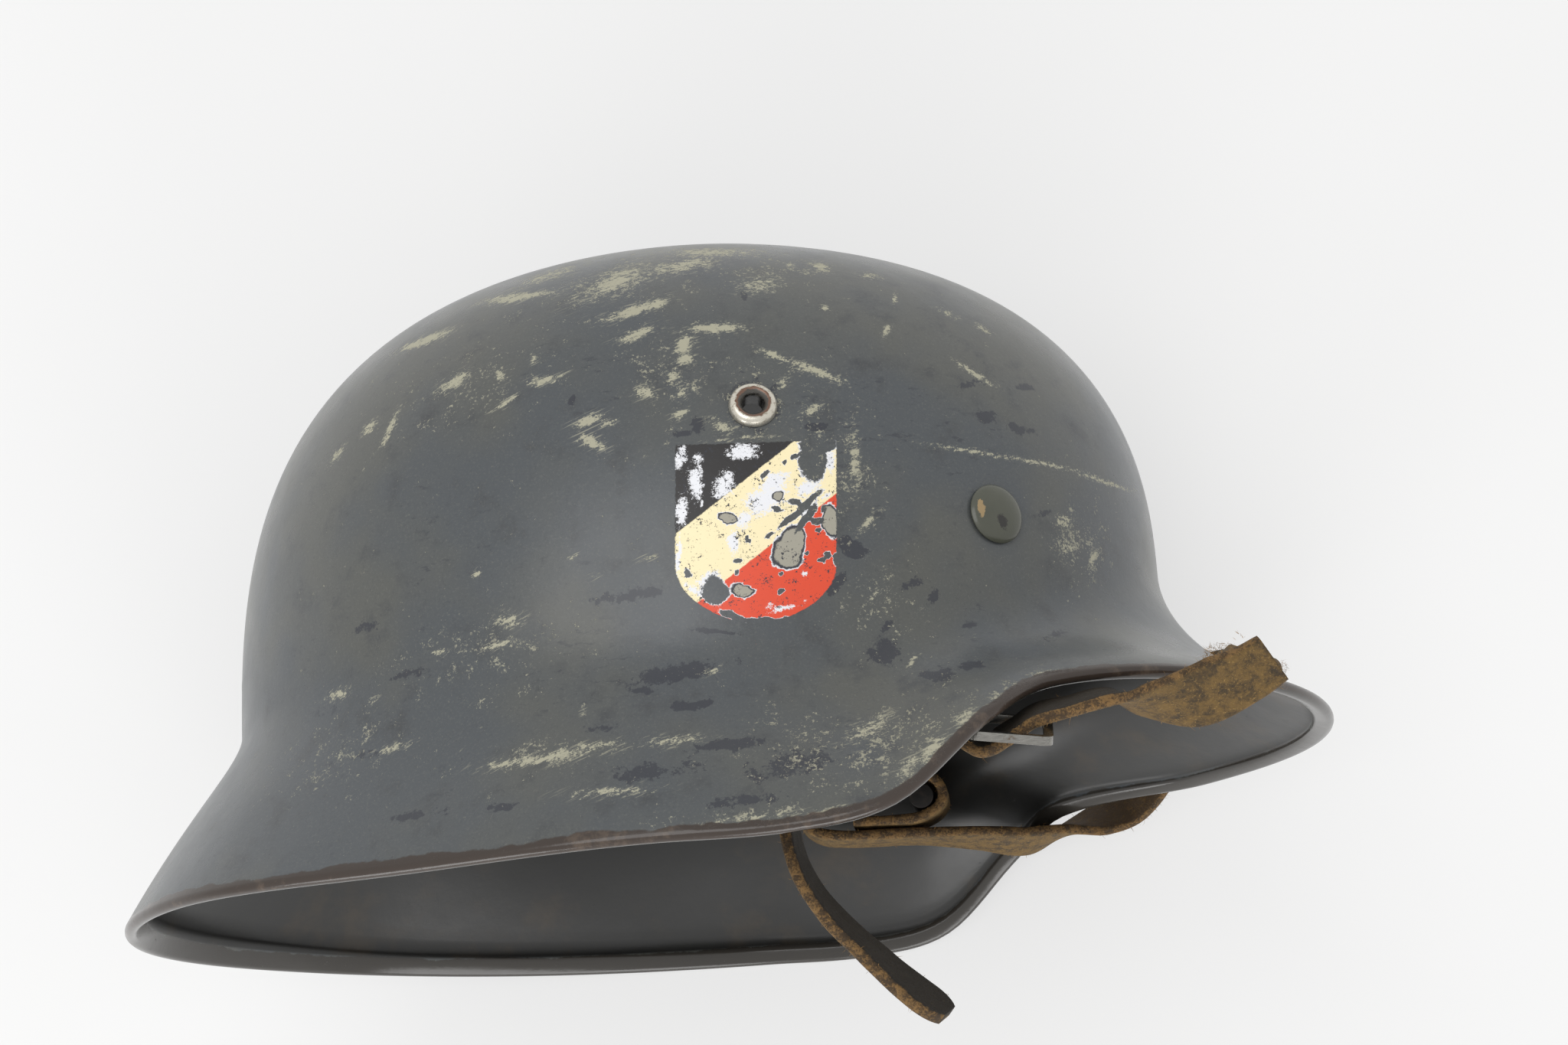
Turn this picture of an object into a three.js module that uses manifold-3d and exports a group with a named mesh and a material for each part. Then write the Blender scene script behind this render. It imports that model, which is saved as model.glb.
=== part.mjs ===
// Military steel helmet with a leather chin strap, lying on its left side.
// Millimetres. The helmet is built upright: +X is its front, +Y its left, +Z its crown, and the
// origin is on the crown axis at brow height. The last group lays it down the way it rests by itself.
import * as THREE from 'three';
import { ParametricGeometry } from 'three/addons/geometries/ParametricGeometry.js';
import { mergeVertices } from 'three/addons/utils/BufferGeometryUtils.js';
import Module from 'manifold-3d';

const wasm = await Module();
wasm.setup();

// Driving dimensions of the pressed steel shell
const CROWN_HEIGHT = 105.3;
const FRONT_REACH = 105;
const REAR_REACH = 115.5;
const SIDE_REACH = 94.5;
const SHEET = 1.2;
const HEM_RADIUS = 1.5;
const HEM_WIDTH = 4;

// Edge of the helmet by azimuth from the front, the same on both sides
// columns: azimuth in degrees, reach from the crown axis, height
const RIM = [
  [0, 141.5, -15.5],
  [30, 133, -15.5],
  [48, 117.5, -18],
  [58, 120, -28],
  [68, 119, -44.5],
  [78, 115, -49],
  [92, 113, -49.5],
  [120, 115, -50],
  [150, 134, -49],
  [180, 143, -49.5],
];

// Height where the dome's wall is upright and the flare begins; columns: azimuth, height
const WAIST = [[0, 21], [60, 0], [110, 0], [180, -6]];

// Flare from waist to edge; columns: azimuth, upper pull, lower pull, end slope in degrees
const FLARE = [
  [0, 0.35, 0.26, 14],
  [50, 0.42, 0.32, 44],
  [90, 0.40, 0.35, 73],
  [135, 0.32, 0.45, 57],
  [180, 0.10, 0.65, 62],
];

// Squareness of the dome's section, 2 being an ellipse; columns: azimuth, exponent
const DOME_POWER = [[0, 2.45], [90, 2.6], [180, 2.7]];

// Mesh density of the shell
const COLUMNS = 86;
const DOME_ROWS = 11;
const FLARE_ROWS = 8;
const HEM_ROWS = 4;

// Small steps for slopes, and the station next to the crown where they can still be taken
const AZIMUTH_STEP = 0.2;
const STATION_STEP = 0.004;
const CROWN_STATION = 0.01;

// Fittings: place on the shell as azimuth and station, 0 at the crown, 1 at the waist, 2 at the edge
const VENT_PLACE = { azimuth: 78, station: 0.778 };
const SIDE_RIVET_PLACE = { azimuth: 46, station: 0.932 };
const REAR_RIVET_PLACE = { azimuth: 180, station: 0.95 };
const VENT_RADIUS = 5;
const VENT_BORE = 2.5;
const VENT_SHANK = 3.4;
const VENT_FLANGE = 1;
const VENT_CHAMFER = 0.6;
const VENT_LIP = 0.9;
const RIVET_RADIUS = 6.7;
const RIVET_RISE = 2.2;
const RIVET_SHANK = 1.5;
const CLINCH_RADIUS = 3.2;
const CLINCH_THICK = 0.8;
const DRILL_LENGTH = 12;
const GAP = 0.3;
const ROUND_SIDES = 18;
const HEAD_STEPS = 5;

// Chin strap
const STRAP_WIDTH = 15;
const STRAP_THICK = 2.6;
const STRAP_STEPS = 4;
const TIP_BLUNT = 1;
const POST = { x: 42, z: -15.2, radius: 3.2, tip: 70, root: 110 };

// Right strap from the tail's rounded tip, over the post, through the buckle, to the cut free end
// columns: x, y, z of the centre line, then the direction across from the near to the far edge
const RIGHT_STRAP = [
  [51.5, -88, -87, 0.25, 0.91, 0.33],
  [44, -88, -80.5, 0.22, 0.93, 0.28],
  [37, -88, -73.5, 0.19, 0.96, 0.22],
  [30, -88, -66, 0.17, 0.97, 0.17],
  [24.5, -88, -57.5, 0.13, 0.98, 0.1],
  [21.8, -87, -48, 0.07, 0.99, 0.03],
  [22, -84, -36, 0, 1, 0],
  [26, -81, -24, 0, 1, 0],
  [32.5, -78, -14.5, 0, 1, 0],
  [38, -77, -10.6, 0, 1, 0],
  [43, -76.8, -9.6, 0, 1, 0],
  [47.6, -77.4, -13, 0, 1, 0],
  [51.5, -80.6, -19.5, 0, 0.98, 0.15],
  [57, -84.5, -27.5, 0, 0.94, 0.3],
  [63, -85.8, -31.5, 0, 0.93, 0.37],
  [68.7, -87.3, -29.5, 0, 0.93, 0.37],
  [74, -88.7, -26.8, 0, 0.93, 0.37],
  [81.6, -88.8, -25.3, 0, 0.94, 0.34],
  [89.7, -88, -23.8, 0.03, 0.95, 0.29],
  [96.4, -87.6, -25.3, 0.05, 0.99, -0.13],
  [106.9, -89.5, -25.6, 0.32, 0.73, -0.61],
  [116.8, -90.2, -21.5, 0.52, 0.64, -0.54],
  [122.9, -90.9, -17.6, 0.71, 0.55, -0.43],
];

// Left strap from its sewn end, round the post and out under the rim to the visor; same columns
const LEFT_STRAP_SIDE = [
  [24, 77.2, -20.7, 0, 1, 0],
  [33, 77.2, -20.9, 0, 1, 0],
  [41, 77.2, -20.6, 0, 1, 0],
  [46.3, 77.2, -18, 0, 1, 0],
  [47.6, 77.2, -14.3, 0, 1, 0],
  [45.4, 77.2, -10.7, 0, 1, 0],
  [41, 77.2, -9.6, 0, 1, 0],
  [32, 77.2, -9.2, 0, 1, 0],
  [20, 77.2, -9.6, 0, 1, 0],
  [12.5, 77.2, -12.3, 0, 1, 0],
  [10, 77.2, -17, 0, 1, 0],
  [13, 77.2, -22, 0, 1, 0],
  [21, 77.2, -24.1, 0, 1, 0],
  [40, 79.5, -24.3, 0, 1, 0],
  [57, 82, -25.6, 0, 0.98, -0.15],
  [69, 86.2, -26.6, 0, 0.95, -0.2],
  [80, 90.5, -23.6, 0, 0.95, 0.25],
  [89, 92, -20.8, -0.1, 0.75, 0.66],
  [96.5, 89.5, -16.4, -0.5, 0.5, 0.7],
  [103.5, 81.5, -8.4, -0.6, 0.35, 0.7],
];

// Stretch over the visor; columns: azimuth in degrees, station of the flare
const VISOR_ROUTE = [[30, 1.56], [22, 1.54], [12, 1.5], [0, 1.54], [-10, 1.65], [-20, 1.78]];
const VISOR_LIFT = 1.8;

// End of the left strap over the near rim, held behind the right strap's free end; same columns
const LEFT_STRAP_END = [
  [119.8, -54.5, -11.6, -0.87, 0.25, 0.42],
  [118.8, -63, -13.4, -0.9, 0.12, 0.4],
  [117.5, -71.5, -15.9, -0.92, 0.04, 0.3],
  [116.2, -78.5, -18.8, -0.95, 0, 0],
  [115, -84, -19.6, -0.93, 0, -0.37],
];

// Buckle frame that the right strap is threaded through
const BUCKLE_CENTRE = [68.7, -87, -28.8];
const BUCKLE_ALONG = [0.98, -0.07, -0.19];
const BUCKLE_ACROSS = [0, 0.93, 0.37];
const BUCKLE_LENGTH = 17.5;
const BUCKLE_WIDTH = 22;
const BUCKLE_WIRE = 1.9;
const BUCKLE_CORNER = 2.2;

// Pose on the surface: the roll past a quarter turn and the turn about the crown axis, in degrees
const LYING_TILT = 13.5;
const LYING_TURN = -3.5;

// Smooth curve through a table's column by azimuth, level at the front and the rear
function along(table, column, azimuth) {
  const last = table.length - 1;
  const slope = (i) => {
    if (i === 0 || i === last) return 0;
    return (table[i + 1][column] - table[i - 1][column]) / (table[i + 1][0] - table[i - 1][0]);
  };
  const next = table.findIndex((row) => row[0] > azimuth);
  const i = (next < 0 ? last : next) - 1;
  const span = table[i + 1][0] - table[i][0];
  const u = (azimuth - table[i][0]) / span;
  const rise = u * u * (3 - 2 * u);
  const start = u * (1 - u) * (1 - u);
  const end = u * u * (u - 1);
  return table[i][column] * (1 - rise) + table[i + 1][column] * rise
    + span * (slope(i) * start + slope(i + 1) * end);
}

// Radius and height of the outer face at an azimuth, for a station from 0 to 2
function profile(azimuth, station) {
  const angle = THREE.MathUtils.degToRad(azimuth);
  const reach = azimuth < 90 ? FRONT_REACH : REAR_REACH;
  const waistReach = 1 / Math.hypot(Math.cos(angle) / reach, Math.sin(angle) / SIDE_REACH);
  const waistHeight = along(WAIST, 1, azimuth);
  if (station <= 1) {
    const turn = station * Math.PI / 2;
    const power = 2 / along(DOME_POWER, 1, azimuth);
    const radius = waistReach * Math.sin(turn) ** power;
    const height = waistHeight + (CROWN_HEIGHT - waistHeight) * Math.max(Math.cos(turn), 0) ** power;
    return new THREE.Vector2(radius, height);
  }
  const start = new THREE.Vector2(waistReach, waistHeight);
  const end = new THREE.Vector2(along(RIM, 1, azimuth), along(RIM, 2, azimuth));
  const size = start.distanceTo(end);
  const fall = THREE.MathUtils.degToRad(along(FLARE, 3, azimuth));
  const upper = start.clone().add(new THREE.Vector2(0, -size * along(FLARE, 1, azimuth)));
  const pull = size * along(FLARE, 2, azimuth);
  const lower = end.clone().sub(new THREE.Vector2(Math.cos(fall), -Math.sin(fall)).multiplyScalar(pull));
  return new THREE.CubicBezierCurve(start, upper, lower, end).getPoint(station - 1);
}

// Point on the outer face; a negative azimuth is the right side
function outerPoint(azimuth, station) {
  const side = ((azimuth + 540) % 360) - 180;
  const { x: radius, y: height } = profile(Math.abs(side), station);
  const angle = THREE.MathUtils.degToRad(side);
  return new THREE.Vector3(radius * Math.cos(angle), radius * Math.sin(angle), height);
}

// Outward normal, direction towards the edge and direction round the helmet at a place
function outerFrame(azimuth, station) {
  const low = Math.max(station - STATION_STEP, CROWN_STATION);
  const high = Math.min(station + STATION_STEP, 2);
  const down = outerPoint(azimuth, high).sub(outerPoint(azimuth, low)).normalize();
  const held = Math.max(station, CROWN_STATION);
  const ahead = outerPoint(azimuth + AZIMUTH_STEP, held);
  const round = ahead.sub(outerPoint(azimuth - AZIMUTH_STEP, held)).normalize();
  const normal = new THREE.Vector3().crossVectors(down, round).normalize();
  const out = new THREE.Vector3().crossVectors(round, normal).normalize();
  return { normal, down, round, out };
}

// Station on the flare that lies the hem's width above the edge
function hemStation(azimuth) {
  return 2 - HEM_WIDTH / outerPoint(azimuth, 1).distanceTo(outerPoint(azimuth, 2));
}

// Outer face sunk along its normal
function sunkPoint(azimuth, station, depth) {
  if (station === 0) return new THREE.Vector3(0, 0, CROWN_HEIGHT - depth);
  const point = outerPoint(azimuth, station);
  return point.addScaledVector(outerFrame(azimuth, station).normal, -depth);
}

// Rolled edge: a half round from the outer face to the inside of the hem
function hemPoint(azimuth, share) {
  const { normal, out } = outerFrame(azimuth, 2);
  const angle = Math.PI * share;
  const centre = outerPoint(azimuth, 2).addScaledVector(normal, -HEM_RADIUS);
  centre.addScaledVector(normal, HEM_RADIUS * Math.cos(angle));
  return centre.addScaledVector(out, HEM_RADIUS * Math.sin(angle));
}

// Rows of the shell's skin, from the crown outside round the hem to the crown inside
function shellRows() {
  const rows = [];
  for (let i = 0; i <= DOME_ROWS; i += 1) rows.push((a) => sunkPoint(a, i / DOME_ROWS, 0));
  for (let i = 1; i <= FLARE_ROWS; i += 1) rows.push((a) => sunkPoint(a, 1 + i / FLARE_ROWS, 0));
  for (let i = 1; i <= HEM_ROWS; i += 1) rows.push((a) => hemPoint(a, i / HEM_ROWS));
  rows.push((a) => sunkPoint(a, hemStation(a), 2 * HEM_RADIUS));
  for (let i = FLARE_ROWS; i >= 1; i -= 1) {
    rows.push((a) => sunkPoint(a, 1 + (hemStation(a) - 1) * i / FLARE_ROWS, SHEET));
  }
  for (let i = DOME_ROWS; i >= 0; i -= 1) rows.push((a) => sunkPoint(a, i / DOME_ROWS, SHEET));
  return rows;
}

// Closed skin over a grid whose first and last rows shrink to points
function closedSurface(surface, slices, stacks) {
  const grid = new ParametricGeometry(surface, slices, stacks);
  grid.deleteAttribute('normal');
  grid.deleteAttribute('uv');
  const merged = mergeVertices(grid, 1e-4);
  const corners = merged.index.array;
  const kept = [];
  for (let i = 0; i < corners.length; i += 3) {
    const [a, b, c] = corners.slice(i, i + 3);
    if (a !== b && b !== c && c !== a) kept.push(a, b, c);
  }
  merged.setIndex(kept);
  return merged;
}

// Solid for joining and cutting
function toSolid(geometry) {
  const bare = geometry.clone();
  bare.deleteAttribute('normal');
  bare.deleteAttribute('uv');
  const merged = mergeVertices(bare, 1e-4);
  const vertProperties = new Float32Array(merged.attributes.position.array);
  const triVerts = new Uint32Array(merged.index.array);
  return new wasm.Manifold(new wasm.Mesh({ numProp: 3, vertProperties, triVerts }));
}

function toGeometry(solid) {
  const mesh = solid.getMesh();
  const geometry = new THREE.BufferGeometry();
  geometry.setAttribute('position', new THREE.BufferAttribute(mesh.vertProperties, 3));
  geometry.setIndex(new THREE.BufferAttribute(mesh.triVerts, 1));
  return geometry;
}

function makeMesh(name, geometry, color, roughness, metalness) {
  const material = new THREE.MeshStandardMaterial({ color, roughness, metalness });
  const mesh = new THREE.Mesh(geometry, material);
  mesh.name = name;
  return mesh;
}

// Frame on the outer face: origin at the place, local +Z along the outward normal
function placeOnShell(place, side) {
  const azimuth = place.azimuth * side;
  const { normal, down } = outerFrame(azimuth, place.station);
  const across = new THREE.Vector3().crossVectors(normal, down);
  const matrix = new THREE.Matrix4().makeBasis(down, across, normal);
  return matrix.setPosition(outerPoint(azimuth, place.station));
}

// Turned piece about local +Z; columns of the outline: radius, height
function turned(outline) {
  const points = outline.map(([radius, height]) => new THREE.Vector2(radius, height));
  return new THREE.LatheGeometry(points, ROUND_SIDES).rotateX(Math.PI / 2);
}

// Hole through the sheet for a shank
function shankHole(matrix, radius) {
  const drill = new THREE.CylinderGeometry(radius + GAP, radius + GAP, DRILL_LENGTH, ROUND_SIDES);
  return toSolid(drill.rotateX(Math.PI / 2).applyMatrix4(matrix));
}

// Closed skin through rows that run round the helmet
function skinGeometry(rows) {
  const stacks = rows.length - 1;
  const surface = (u, v, target) => {
    const azimuth = 180 - 360 * (Math.round(u * COLUMNS) % COLUMNS) / COLUMNS;
    target.copy(rows[Math.round(v * stacks)](azimuth));
  };
  return closedSurface(surface, COLUMNS, stacks);
}

function shellGeometry(holes) {
  const skin = toSolid(skinGeometry(shellRows()));
  return toGeometry(holes.reduce((solid, hole) => solid.subtract(hole), skin));
}

// Vent bushing: flanged outside, rolled over inside, with an open bore
function bushingGeometry(matrix) {
  const inside = -SHEET - 2 * GAP;
  const outline = [
    [VENT_BORE, inside - VENT_LIP],
    [VENT_RADIUS - VENT_CHAMFER, inside - VENT_LIP],
    [VENT_RADIUS - VENT_CHAMFER, inside],
    [VENT_SHANK, inside],
    [VENT_SHANK, GAP],
    [VENT_RADIUS, GAP],
    [VENT_RADIUS, GAP + VENT_FLANGE - VENT_CHAMFER],
    [VENT_RADIUS - VENT_CHAMFER, GAP + VENT_FLANGE],
    [VENT_BORE, GAP + VENT_FLANGE],
    [VENT_BORE, inside - VENT_LIP],
  ];
  return turned(outline).applyMatrix4(matrix);
}

// Liner rivet: domed head outside, shank through the sheet, clinched disc inside
function rivetGeometry(matrix) {
  const inside = -SHEET - 2 * GAP;
  const outline = [
    [0, inside - CLINCH_THICK],
    [CLINCH_RADIUS, inside - CLINCH_THICK],
    [CLINCH_RADIUS, inside],
    [RIVET_SHANK, inside],
    [RIVET_SHANK, GAP],
    [RIVET_RADIUS, GAP],
  ];
  for (let i = 1; i <= HEAD_STEPS; i += 1) {
    const angle = i / HEAD_STEPS * Math.PI / 2;
    outline.push([RIVET_RADIUS * Math.cos(angle), GAP + RIVET_RISE * Math.sin(angle)]);
  }
  outline[outline.length - 1][0] = 0;
  return turned(outline).applyMatrix4(matrix);
}

// Space inside the helmet, a little clear of the sheet and closed flat above the hem
function hollowSolid() {
  const clear = SHEET + GAP;
  const rows = [];
  for (let i = 0; i <= DOME_ROWS; i += 1) rows.push((a) => sunkPoint(a, i / DOME_ROWS, clear));
  for (let i = 1; i <= FLARE_ROWS; i += 1) {
    rows.push((a) => sunkPoint(a, 1 + (hemStation(a) - 1) * i / FLARE_ROWS, clear));
  }
  rows.push(() => new THREE.Vector3(0, 0, along(WAIST, 1, 90)));
  return toSolid(skinGeometry(rows));
}

// Strap post: a plain bar across the helmet whose root follows the inner wall
function postGeometry(side, hollow) {
  const length = POST.root - POST.tip;
  const bar = new THREE.CylinderGeometry(POST.radius, POST.radius, length, ROUND_SIDES);
  bar.translate(POST.x, side * (POST.root + POST.tip) / 2, POST.z);
  return toGeometry(toSolid(bar).intersect(hollow));
}

// Smooth curves through a strap's stations, one for the centre line and one for the across direction
function strapCurves(stations) {
  const centre = stations.map(([x, y, z]) => new THREE.Vector3(x, y, z));
  const across = stations.map((row) => new THREE.Vector3(row[3], row[4], row[5]));
  return {
    centre: new THREE.CatmullRomCurve3(centre, false, 'catmullrom', 0.5),
    across: new THREE.CatmullRomCurve3(across, false, 'catmullrom', 0.5),
  };
}

// Share of the full width at a distance from a rounded tip
function tipShare(distance) {
  const left = Math.max(1 - (distance + TIP_BLUNT) / (STRAP_WIDTH / 2), 0);
  return Math.sqrt(1 - left * left);
}

// Flat strap of constant section; the first end can be a rounded tip
function strapGeometry(stations, roundedTip) {
  const { centre, across } = strapCurves(stations);
  const stacks = (stations.length - 1) * STRAP_STEPS;
  const lengths = centre.getLengths(stacks);
  const corners = [[-1, -1], [1, -1], [1, 1], [-1, 1]];
  const surface = (u, v, target) => {
    const row = Math.round(v * (stacks + 2)) - 1;
    const held = Math.min(Math.max(row, 0), stacks);
    const t = held / stacks;
    const tangent = centre.getTangent(t);
    const wide = across.getPoint(t);
    wide.addScaledVector(tangent, -wide.dot(tangent)).normalize();
    const thick = new THREE.Vector3().crossVectors(tangent, wide);
    const reach = roundedTip ? tipShare(lengths[held]) : 1;
    const [w, h] = corners[Math.round(u * corners.length) % corners.length];
    const inside = row >= 0 && row <= stacks ? 1 : 0;
    target.copy(centre.getPoint(t));
    target.addScaledVector(wide, inside * w * reach * STRAP_WIDTH / 2);
    target.addScaledVector(thick, inside * h * STRAP_THICK / 2);
  };
  return closedSurface(surface, corners.length, stacks + 2);
}

// Stations of the left strap where it lies on the visor
function visorStations() {
  const lift = STRAP_THICK / 2 + VISOR_LIFT;
  return VISOR_ROUTE.map(([azimuth, station]) => {
    const { normal, down } = outerFrame(azimuth, station);
    const point = outerPoint(azimuth, station).addScaledVector(normal, lift);
    return [...point.toArray(), -down.x, -down.y, -down.z];
  });
}

// Rectangle with round corners, centred
function roundedRectangle(length, width, radius) {
  const shape = new THREE.Shape();
  const x = length / 2 - radius;
  const y = width / 2 - radius;
  shape.absarc(x, y, radius, 0, Math.PI / 2);
  shape.absarc(-x, y, radius, Math.PI / 2, Math.PI);
  shape.absarc(-x, -y, radius, Math.PI, 1.5 * Math.PI);
  shape.absarc(x, -y, radius, 1.5 * Math.PI, 2 * Math.PI);
  return shape;
}

// Buckle: a flat frame of square wire with round corners
function buckleGeometry() {
  const frame = roundedRectangle(BUCKLE_LENGTH, BUCKLE_WIDTH, BUCKLE_CORNER);
  const window = roundedRectangle(
    BUCKLE_LENGTH - 2 * BUCKLE_WIRE, BUCKLE_WIDTH - 2 * BUCKLE_WIRE, BUCKLE_CORNER / 2);
  frame.holes.push(window);
  const options = { depth: BUCKLE_WIRE, bevelEnabled: false, curveSegments: 3 };
  const geometry = new THREE.ExtrudeGeometry(frame, options).translate(0, 0, -BUCKLE_WIRE / 2);
  const across = new THREE.Vector3(...BUCKLE_ACROSS).normalize();
  const forward = new THREE.Vector3(...BUCKLE_ALONG);
  forward.addScaledVector(across, -forward.dot(across)).normalize();
  const up = new THREE.Vector3().crossVectors(forward, across);
  const matrix = new THREE.Matrix4().makeBasis(forward, across, up);
  return geometry.applyMatrix4(matrix.setPosition(...BUCKLE_CENTRE));
}

const SIDES = [['right', -1], ['left', 1]];
const helmet = new THREE.Group();
const holes = [];
const hollow = hollowSolid();

for (const [side, sign] of SIDES) {
  const vent = placeOnShell(VENT_PLACE, sign);
  const rivet = placeOnShell(SIDE_RIVET_PLACE, sign);
  holes.push(shankHole(vent, VENT_SHANK), shankHole(rivet, RIVET_SHANK));
  helmet.add(makeMesh(`vent_bushing_${side}`, bushingGeometry(vent), 0x9a9a94, 0.35, 0.9));
  helmet.add(makeMesh(`liner_rivet_${side}`, rivetGeometry(rivet), 0x6d6e60, 0.4, 0.5));
  helmet.add(makeMesh(`strap_post_${side}`, postGeometry(sign, hollow), 0xa8a8a4, 0.35, 0.9));
}
const rearRivet = placeOnShell(REAR_RIVET_PLACE, 1);
holes.push(shankHole(rearRivet, RIVET_SHANK));
helmet.add(makeMesh('liner_rivet_rear', rivetGeometry(rearRivet), 0x6d6e60, 0.4, 0.5));
helmet.add(makeMesh('shell', shellGeometry(holes), 0x5a5d60, 0.55, 0.3));

const leftStrap = [...LEFT_STRAP_SIDE, ...visorStations(), ...LEFT_STRAP_END];
helmet.add(makeMesh('chin_strap_right', strapGeometry(RIGHT_STRAP, true), 0x5f4a30, 0.85, 0));
helmet.add(makeMesh('chin_strap_left', strapGeometry(leftStrap, false), 0x5f4a30, 0.85, 0));
helmet.add(makeMesh('strap_buckle', buckleGeometry(), 0xc8c8c4, 0.3, 1));

// Laid on its left side, with the origin under the middle of the whole object
helmet.rotation.set(
  -THREE.MathUtils.degToRad(90 + LYING_TILT), 0, THREE.MathUtils.degToRad(LYING_TURN));
helmet.updateMatrixWorld(true);
const box = new THREE.Box3().setFromObject(helmet, true);
helmet.position.set(
  -(box.min.x + box.max.x) / 2, -(box.min.y + box.max.y) / 2, -box.min.z);

const lying = new THREE.Group();
lying.add(helmet);

export default lying;
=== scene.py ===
# %% [markdown]
# # A worn steel helmet lying on a pale table
# The helmet is one pressed steel shell with a few metal fittings and a leather chin strap.
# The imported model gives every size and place. This lesson dresses it: the shell and the straps
# are made again as fine meshes, and every surface gets a material made of nodes.

# %% Load the frame
import math
from contextlib import contextmanager

import bpy
import numpy as np
from mathutils import Matrix, Vector, noise


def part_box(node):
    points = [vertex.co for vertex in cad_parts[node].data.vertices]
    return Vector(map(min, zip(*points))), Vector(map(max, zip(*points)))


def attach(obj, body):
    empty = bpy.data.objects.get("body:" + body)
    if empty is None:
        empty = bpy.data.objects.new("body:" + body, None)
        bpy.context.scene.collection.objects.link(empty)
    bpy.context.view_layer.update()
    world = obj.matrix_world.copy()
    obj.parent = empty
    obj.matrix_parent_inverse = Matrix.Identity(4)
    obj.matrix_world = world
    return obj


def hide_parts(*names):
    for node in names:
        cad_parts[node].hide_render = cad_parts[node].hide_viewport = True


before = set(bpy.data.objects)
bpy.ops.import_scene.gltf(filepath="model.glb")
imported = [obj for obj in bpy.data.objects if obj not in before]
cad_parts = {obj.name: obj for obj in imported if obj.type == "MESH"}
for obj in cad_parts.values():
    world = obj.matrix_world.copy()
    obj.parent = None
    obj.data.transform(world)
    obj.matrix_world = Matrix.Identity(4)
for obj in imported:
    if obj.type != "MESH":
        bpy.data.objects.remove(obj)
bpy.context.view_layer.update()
print("CAD nodes:", len(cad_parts))

# %% [markdown]
# ## The shell's form
# The shell is a dome that turns into a flare at the waist: a peak in front, ear flaps at the
# sides and a neck guard behind. It could be sculpted, but a formula keeps it true to the packed
# solid. Each table row gives the form at one azimuth, and a smooth curve joins the rows.
# Lengths are in millimetres, in the helmet's upright frame: +X front, +Y left, +Z crown.

# %% Sizes of the shell
MM = 0.001
CROWN_HEIGHT = 105.3
FRONT_REACH = 105
REAR_REACH = 115.5
SIDE_REACH = 94.5
SHEET = 1.2
HEM_RADIUS = 1.5
HEM_WIDTH = 4

# columns: azimuth from the front, reach from the crown axis, height
RIM = [
    (0, 141.5, -15.5), (30, 133, -15.5), (48, 117.5, -18), (58, 120, -28), (68, 119, -44.5),
    (78, 115, -49), (92, 113, -49.5), (120, 115, -50), (150, 134, -49), (180, 143, -49.5),
]
# columns: azimuth, height where the dome's wall is upright
WAIST = [(0, 21), (60, 0), (110, 0), (180, -6)]
# columns: azimuth, upper pull, lower pull, end slope in degrees
FLARE = [
    (0, 0.35, 0.26, 14),
    (50, 0.42, 0.32, 44),
    (90, 0.40, 0.35, 73),
    (135, 0.32, 0.45, 57),
    (180, 0.10, 0.65, 62),
]
# columns: azimuth, squareness of the dome's section
DOME_POWER = [(0, 2.45), (90, 2.6), (180, 2.7)]

# small steps for slopes, and the station next to the crown where they can still be taken
AZIMUTH_STEP = 0.2
STATION_STEP = 0.004
CROWN_STATION = 0.01


def along(table, column, azimuth):
    """Smooth curve through a table's column, level at the front and the rear."""
    keys = np.array([row[0] for row in table], float)
    values = np.array([row[column] for row in table], float)
    slopes = np.zeros_like(values)
    slopes[1:-1] = (values[2:] - values[:-2]) / (keys[2:] - keys[:-2])
    i = np.clip(np.searchsorted(keys, azimuth, side="right") - 1, 0, len(keys) - 2)
    span = keys[i + 1] - keys[i]
    u = (azimuth - keys[i]) / span
    rise = u * u * (3 - 2 * u)
    bend = slopes[i] * u * (1 - u) ** 2 + slopes[i + 1] * u * u * (u - 1)
    return values[i] * (1 - rise) + values[i + 1] * rise + span * bend


def outer_point(azimuth, station):
    """Outer face at an azimuth (negative on the right), station 0 crown, 1 waist, 2 edge."""
    azimuth, station = np.broadcast_arrays(np.asarray(azimuth, float), np.asarray(station, float))
    side = np.abs((azimuth + 540) % 360 - 180)
    angle = np.radians(side)
    reach = np.where(side < 90, FRONT_REACH, REAR_REACH)
    waist_reach = 1 / np.hypot(np.cos(angle) / reach, np.sin(angle) / SIDE_REACH)
    waist_height = along(WAIST, 1, side)
    turn = np.clip(station, 0, 1) * math.pi / 2
    power = 2 / along(DOME_POWER, 1, side)
    dome_radius = waist_reach * np.sin(turn) ** power
    dome_height = waist_height + (CROWN_HEIGHT - waist_height) * np.clip(np.cos(turn), 0, 1) ** power
    end_radius = along(RIM, 1, side)
    end_height = along(RIM, 2, side)
    size = np.hypot(end_radius - waist_reach, end_height - waist_height)
    fall = np.radians(along(FLARE, 3, side))
    pull = size * along(FLARE, 2, side)
    u = np.clip(station - 1, 0, 1)
    shares = ((1 - u) ** 3, 3 * u * (1 - u) ** 2, 3 * u * u * (1 - u), u**3)
    radii = (waist_reach, waist_reach, end_radius - pull * np.cos(fall), end_radius)
    upper = waist_height - size * along(FLARE, 1, side)
    heights = (waist_height, upper, end_height + pull * np.sin(fall), end_height)
    flare_radius = sum(share * value for share, value in zip(shares, radii))
    flare_height = sum(share * value for share, value in zip(shares, heights))
    radius = np.where(station <= 1, dome_radius, flare_radius)
    height = np.where(station <= 1, dome_height, flare_height)
    turned = np.radians(azimuth)
    return np.stack([radius * np.cos(turned), radius * np.sin(turned), height], -1)


def unit(vectors):
    return vectors / np.linalg.norm(vectors, axis=-1, keepdims=True)


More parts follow.
